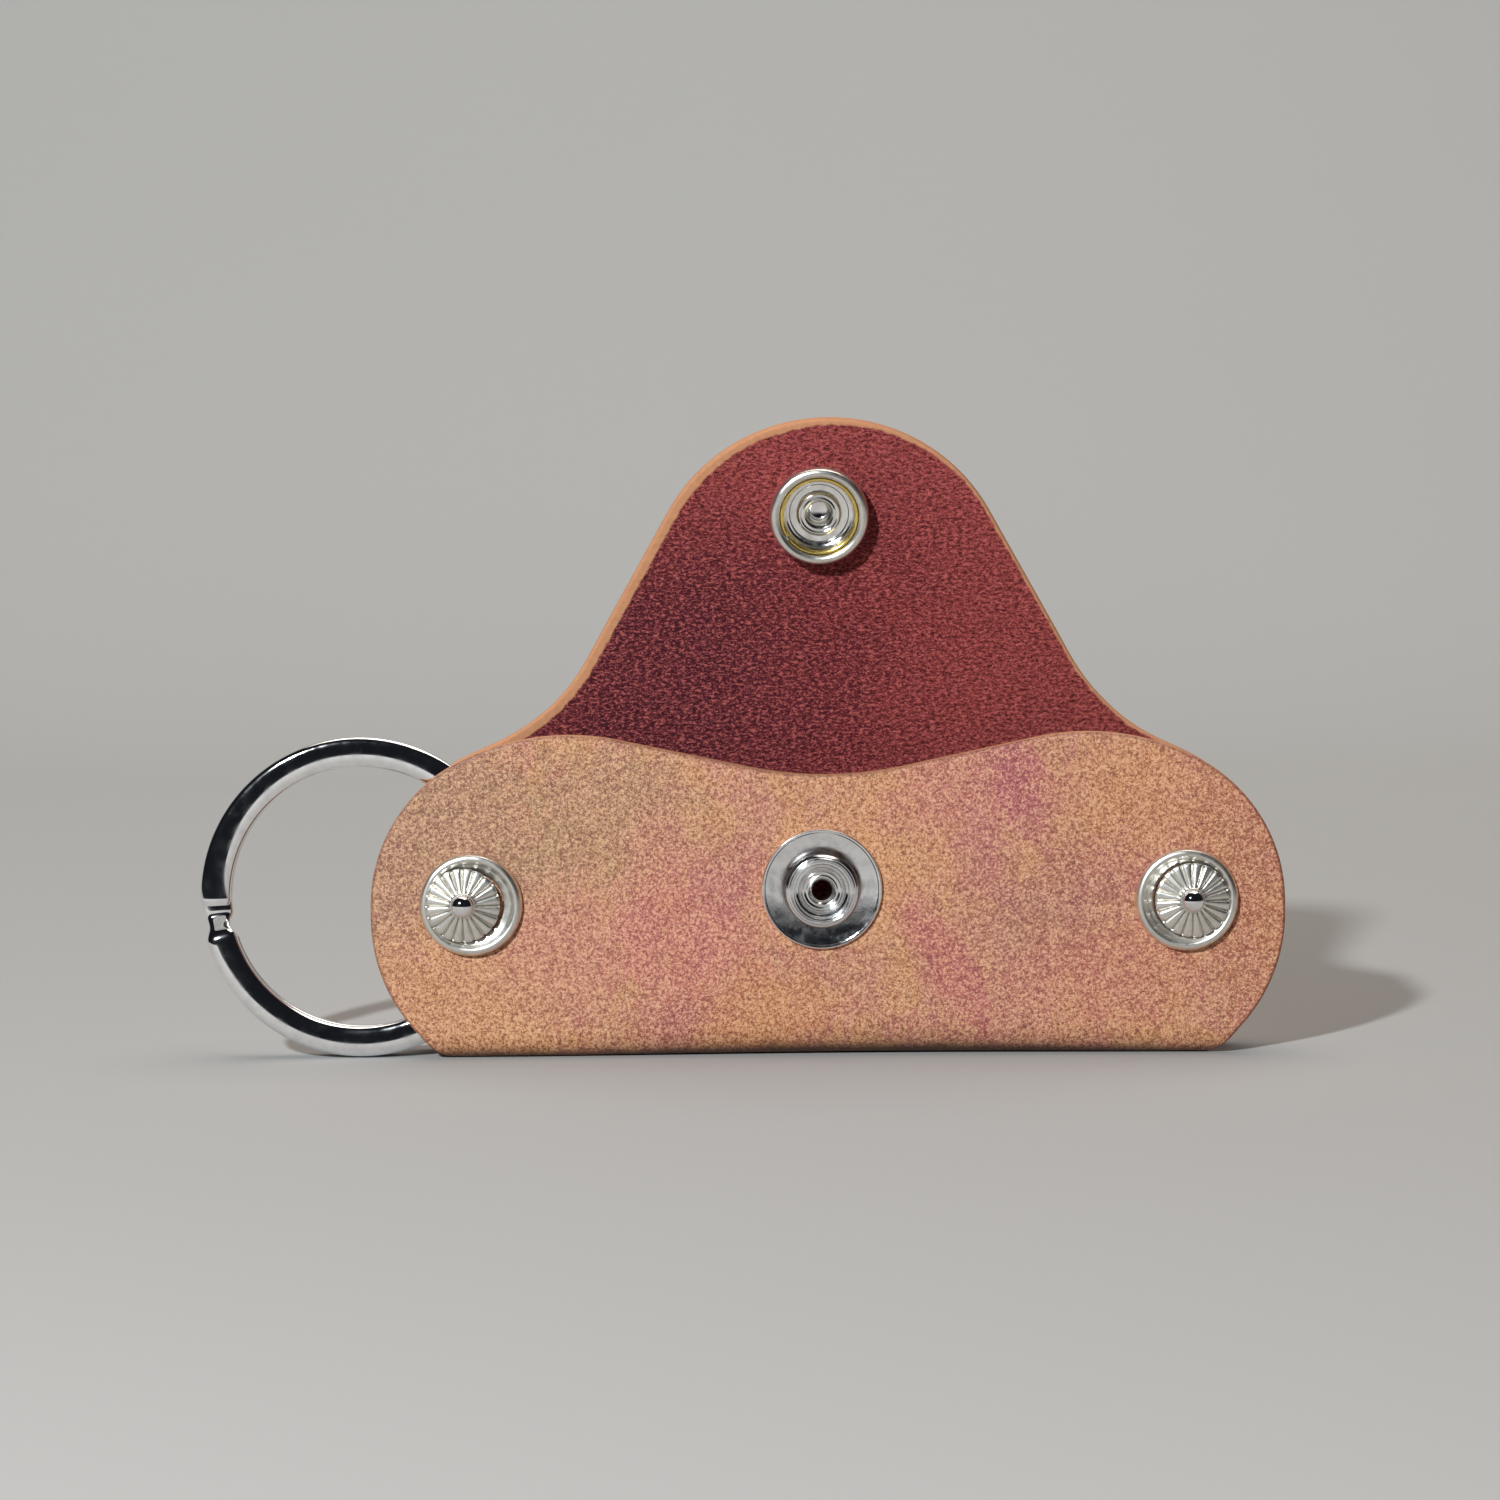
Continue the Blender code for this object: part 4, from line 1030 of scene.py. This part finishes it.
def flute_mesh():
    """One flute of the sunburst: a pillowed rib between two narrow grooves."""
    columns, flute = 16, math.tau / FLUTES
    land, reach, slope_rows = 1.36, 3.68, 8
    # Rows as radius, height, depth of the groove, depth of the scallop
    rows = [(0.85, 0.8, 0, 0), (0.85, 1.72, 0, 0), (1.22, 1.72, 0, 0), (land - 0.06, 1.62, 0, 0)]
    for step in range(slope_rows + 1):
        share = step / slope_rows
        radius = land + (reach - 0.05 - land) * share
        rows.append((radius, 1.6 - 0.38 * share, 0.24 + 0.12 * share, 0.07 * share))
    rows += [(reach, 1.15, 0.32, 0.07), (reach, 0.8, 0.0, 0.07)]
    bm = bmesh.new()
    grid = []
    for radius, height, depth, scallop in rows:
        line = []
        for column in range(columns + 1):
            across = 2 * column / columns - 1
            groove = 0.9 * abs(across) ** 5 + 0.1 * across**2
            angle = flute * column / columns
            span = radius - scallop * groove
            spot = (span * math.cos(angle), span * math.sin(angle), height - depth * groove)
            line.append(bm.verts.new(spot))
        grid.append(line)
    for low, high in zip(grid, grid[1:] + grid[:1]):
        for column in range(columns):
            bm.faces.new((low[column], low[column + 1], high[column + 1], high[column]))
    bmesh.ops.recalc_face_normals(bm, faces=bm.faces)
    mesh = bpy.data.meshes.new("flute")
    bm.to_mesh(mesh)
    bm.free()
    return mesh


def rivets():
    washer = [
        (3.3, 0.02, 0.02),
        (5.05, 0.02, 0.06),
        (5.15, 0.3, 0.2),
        (4.95, 0.85, 0.4),
        (4.5, 1.02, 0.4),
        (4.0, 0.62, 0.35),
        (3.3, 0.4, 0.1),
    ]
    turns = np.radians(np.arange(90, -46, -6))
    ball = [(1.14 * math.cos(a), 1.8 + 0.9 * math.sin(a), 0) for a in turns]
    ball += [(0.8, -7.5, 0.1), (0, -7.5, 0)]
    post = [
        (0, -9.1, 0),
        (2.5, -9.05, 4.0),
        (4.45, -8.3, 1.0),
        (4.5, -7.85, 0.1),
        (RIVET_POST_RADIUS, -7.82, 0.1),
        (RIVET_POST_RADIUS, -1.6, 0.05),
        (1.4, -1.6, 0.02),
        (1.4, 0.9, 0.05),
        (0.95, 0.9, 0.05),
        (0.95, -7.6, 0.05),
        (0, -7.6, 0),
    ]
    sides = [("left", LEFT_RIVET_X, LEFT_WASHER_SLIP), ("right", RIGHT_RIVET_X, RIGHT_WASHER_SLIP)]
    for side, x, slip in sides:
        axis = rivet_axis(x)
        name = side + "_washer"
        mesh = turned_mesh(name, washer, rivet_axis(x + slip), 96)
        finished(name, mesh, SATIN, [side + "_rivet_washer"], "case")
        name = side + "_sunburst"
        values = {"Count": FLUTES, "Join Distance": 1e-4, "Material": SATIN}
        mesh = grown(name, ARRAY, flute_mesh(), values)
        points = np.zeros(len(mesh.vertices) * 3)
        mesh.vertices.foreach_get("co", points)
        points = points.reshape(-1, 3)
        span = np.hypot(points[:, 0], points[:, 1])
        vector_attribute(mesh, "turn", np.stack([points[:, 1] * 4, points[:, 0] * 4, span], axis=1))
        mesh.transform(axis @ Matrix.Diagonal((MM, MM, MM, 1)))
        finished(name, mesh, SATIN, [side + "_rivet_sunburst"], "case")
        mesh.set_sharp_from_angle(angle=SMOOTH_EDGE)
        name = side + "_pin"
        mesh = turned_mesh(name, ball, axis, 64, 6)
        finished(name, mesh, CHROME, [side + "_rivet_pin"], "case")
        name = side + "_post"
        mesh = turned_mesh(name, post, axis, 64)
        finished(name, mesh, SATIN, [side + "_rivet_post"], "case")


def key_ring():
    values = {
        "Radius": RING_MIDDLE * MM,
        "Wire Width": RING_WIRE_WIDTH * MM,
        "Wire Thickness": RING_WIRE_THICKNESS * MM,
        "Coil Pitch": (RING_WIRE_THICKNESS + RING_COIL_GAP) * MM,
        "Start Degrees": 183.0,
        "Sweep Degrees": 707.0,
        "Step Starts": 346.0,
        "Step Ends": 357.0,
        "Pinch": 0.3,
        "Squareness": 0.6,
        "Stations": 708,
        "Sides": 32,
        "Material": CHROME,
    }
    mesh = grown("ring_wire", WIRE, bpy.data.meshes.new("nothing"), values)
    # the wire's face is dished a little towards the ring's centre
    for vertex in mesh.vertices:
        vertex.co.z -= (vertex.co.xy.length - RING_MIDDLE * MM) * math.tan(RING_DISH)
    # the wire's axis turns from +Z to -Y, so the first coil faces the front
    centre = CASE @ at(-RIVET_X + RING_CENTRE_X, 0, RING_RADIUS + RING_FLOOR_GAP)
    mesh.transform(centre @ tilt(math.pi / 2 - RING_LEAN) @ Matrix.Diagonal((1, 1, -1, 1)))
    mesh.flip_normals()
    finished("ring_wire", mesh, CHROME, ["key_ring"], "ring")


leather_pieces()
snap()
rivets()
key_ring()


# Stage, light and camera


def stage():
    material, tree, shader = new_material("pale_paper")
    place = node(tree, "ShaderNodeTexCoord").outputs["Object"]
    cloud = noise(tree, place, 7.0, 3.0)
    _, depth, height = split(tree, place)
    # painted light: the paper's colour is darker towards the front and lighter up the backdrop
    paper_with_painted_light = mixed(
        tree, ramp(tree, depth, -0.2, 0.5), (0.375, 0.36, 0.347, 1), (0.49, 0.494, 0.485, 1)
    )
    paper_with_painted_light = mixed(tree, ramp(tree, height, 0.05, 0.4), paper_with_painted_light, (0.55, 0.55, 0.54, 1))
    cloud_share = sums(tree, "MULTIPLY", cloud, 0.06)
    put(tree, shader.inputs["Base Color"], mixed(tree, cloud_share, paper_with_painted_light, (0.3, 0.28, 0.27, 1)))
    put(tree, shader.inputs["Roughness"], 0.9)
    put(tree, shader.inputs["Specular IOR Level"], 0.1)
    front, back, bend, top, half_width = -0.3, 0.3, 0.35, 1.6, 1.4
    profile = [(front, 0.0), (back, 0.0)]
    for angle in np.linspace(0, math.pi / 2, 25)[1:]:
        profile.append((back + bend * math.sin(angle), bend - bend * math.cos(angle)))
    profile.append((back + bend, top))
    bm = bmesh.new()
    rows = [[bm.verts.new((x, y, z)) for x in (-half_width, half_width)] for y, z in profile]
    for low, high in zip(rows, rows[1:]):
        bm.faces.new((low[0], low[1], high[1], high[0])).smooth = True
    mesh = bpy.data.meshes.new("paper_sweep")
    bm.to_mesh(mesh)
    bm.free()
    mesh.materials.append(material)
    sweep = bpy.data.objects.new("paper_sweep", mesh)
    bpy.context.scene.collection.objects.link(sweep)


def lamp(name, place, target, power, width, height=None, colour=(1, 1, 1), shape="RECTANGLE"):
    light = bpy.data.lights.new(name, "AREA")
    light.shape = shape
    light.size = width
    light.size_y = height or width
    light.energy = power
    light.color = colour
    obj = bpy.data.objects.new(name, light)
    bpy.context.scene.collection.objects.link(obj)
    obj.location = place
    obj.rotation_euler = (Vector(target) - Vector(place)).to_track_quat("-Z", "Y").to_euler()


def lighting():
    """A small cool lamp from the upper left, a broad warm panel above, and a dark room."""
    middle = Vector((0, 0, 0.03))
    key = middle - Vector((0.8, 1.7, -1)).normalized() * 0.75
    lamp("key_lamp", key, middle, 6.95, 0.042, shape="DISK", colour=(0.88, 0.955, 1.0))
    lamp("top_panel", (0.1, 0.25, 1.1), (0.0, 0.1, 0), 8.9, 1.1, 0.9, colour=(1.0, 0.91, 0.84))
    world = bpy.data.worlds.new("room")
    world.use_nodes = True
    bpy.context.scene.world = world
    tree = world.node_tree
    background = tree.nodes["Background"]
    path = node(tree, "ShaderNodeLightPath").outputs
    room, reflected = (0.03, 0.03, 0.032, 1), (0.008, 0.009, 0.012, 1)
    colour = mixed(tree, path["Is Glossy Ray"], room, reflected)
    colour = mixed(tree, path["Is Camera Ray"], colour, (0.45, 0.44, 0.43, 1))
    put(tree, background.inputs["Color"], colour)
    background.inputs["Strength"].default_value = 1.0


def camera():
    data = bpy.data.cameras.new("camera")
    data.lens = 108
    data.sensor_width = 36
    data.clip_start = 0.01
    obj = bpy.data.objects.new("camera", data)
    bpy.context.scene.collection.objects.link(obj)
    place = Vector((0.00097, -0.4474, 0.0697))
    target = Vector((0.00097, 0.000875, 0.03045))
    look = (target - place).to_track_quat("-Z", "Y").to_matrix().to_4x4()
    roll = Matrix.Rotation(math.radians(-0.44), 4, "Z")
    obj.matrix_world = Matrix.Translation(place) @ look @ roll
    bpy.context.scene.camera = obj


stage()
lighting()
camera()
bpy.context.scene.view_settings.view_transform = "Standard"
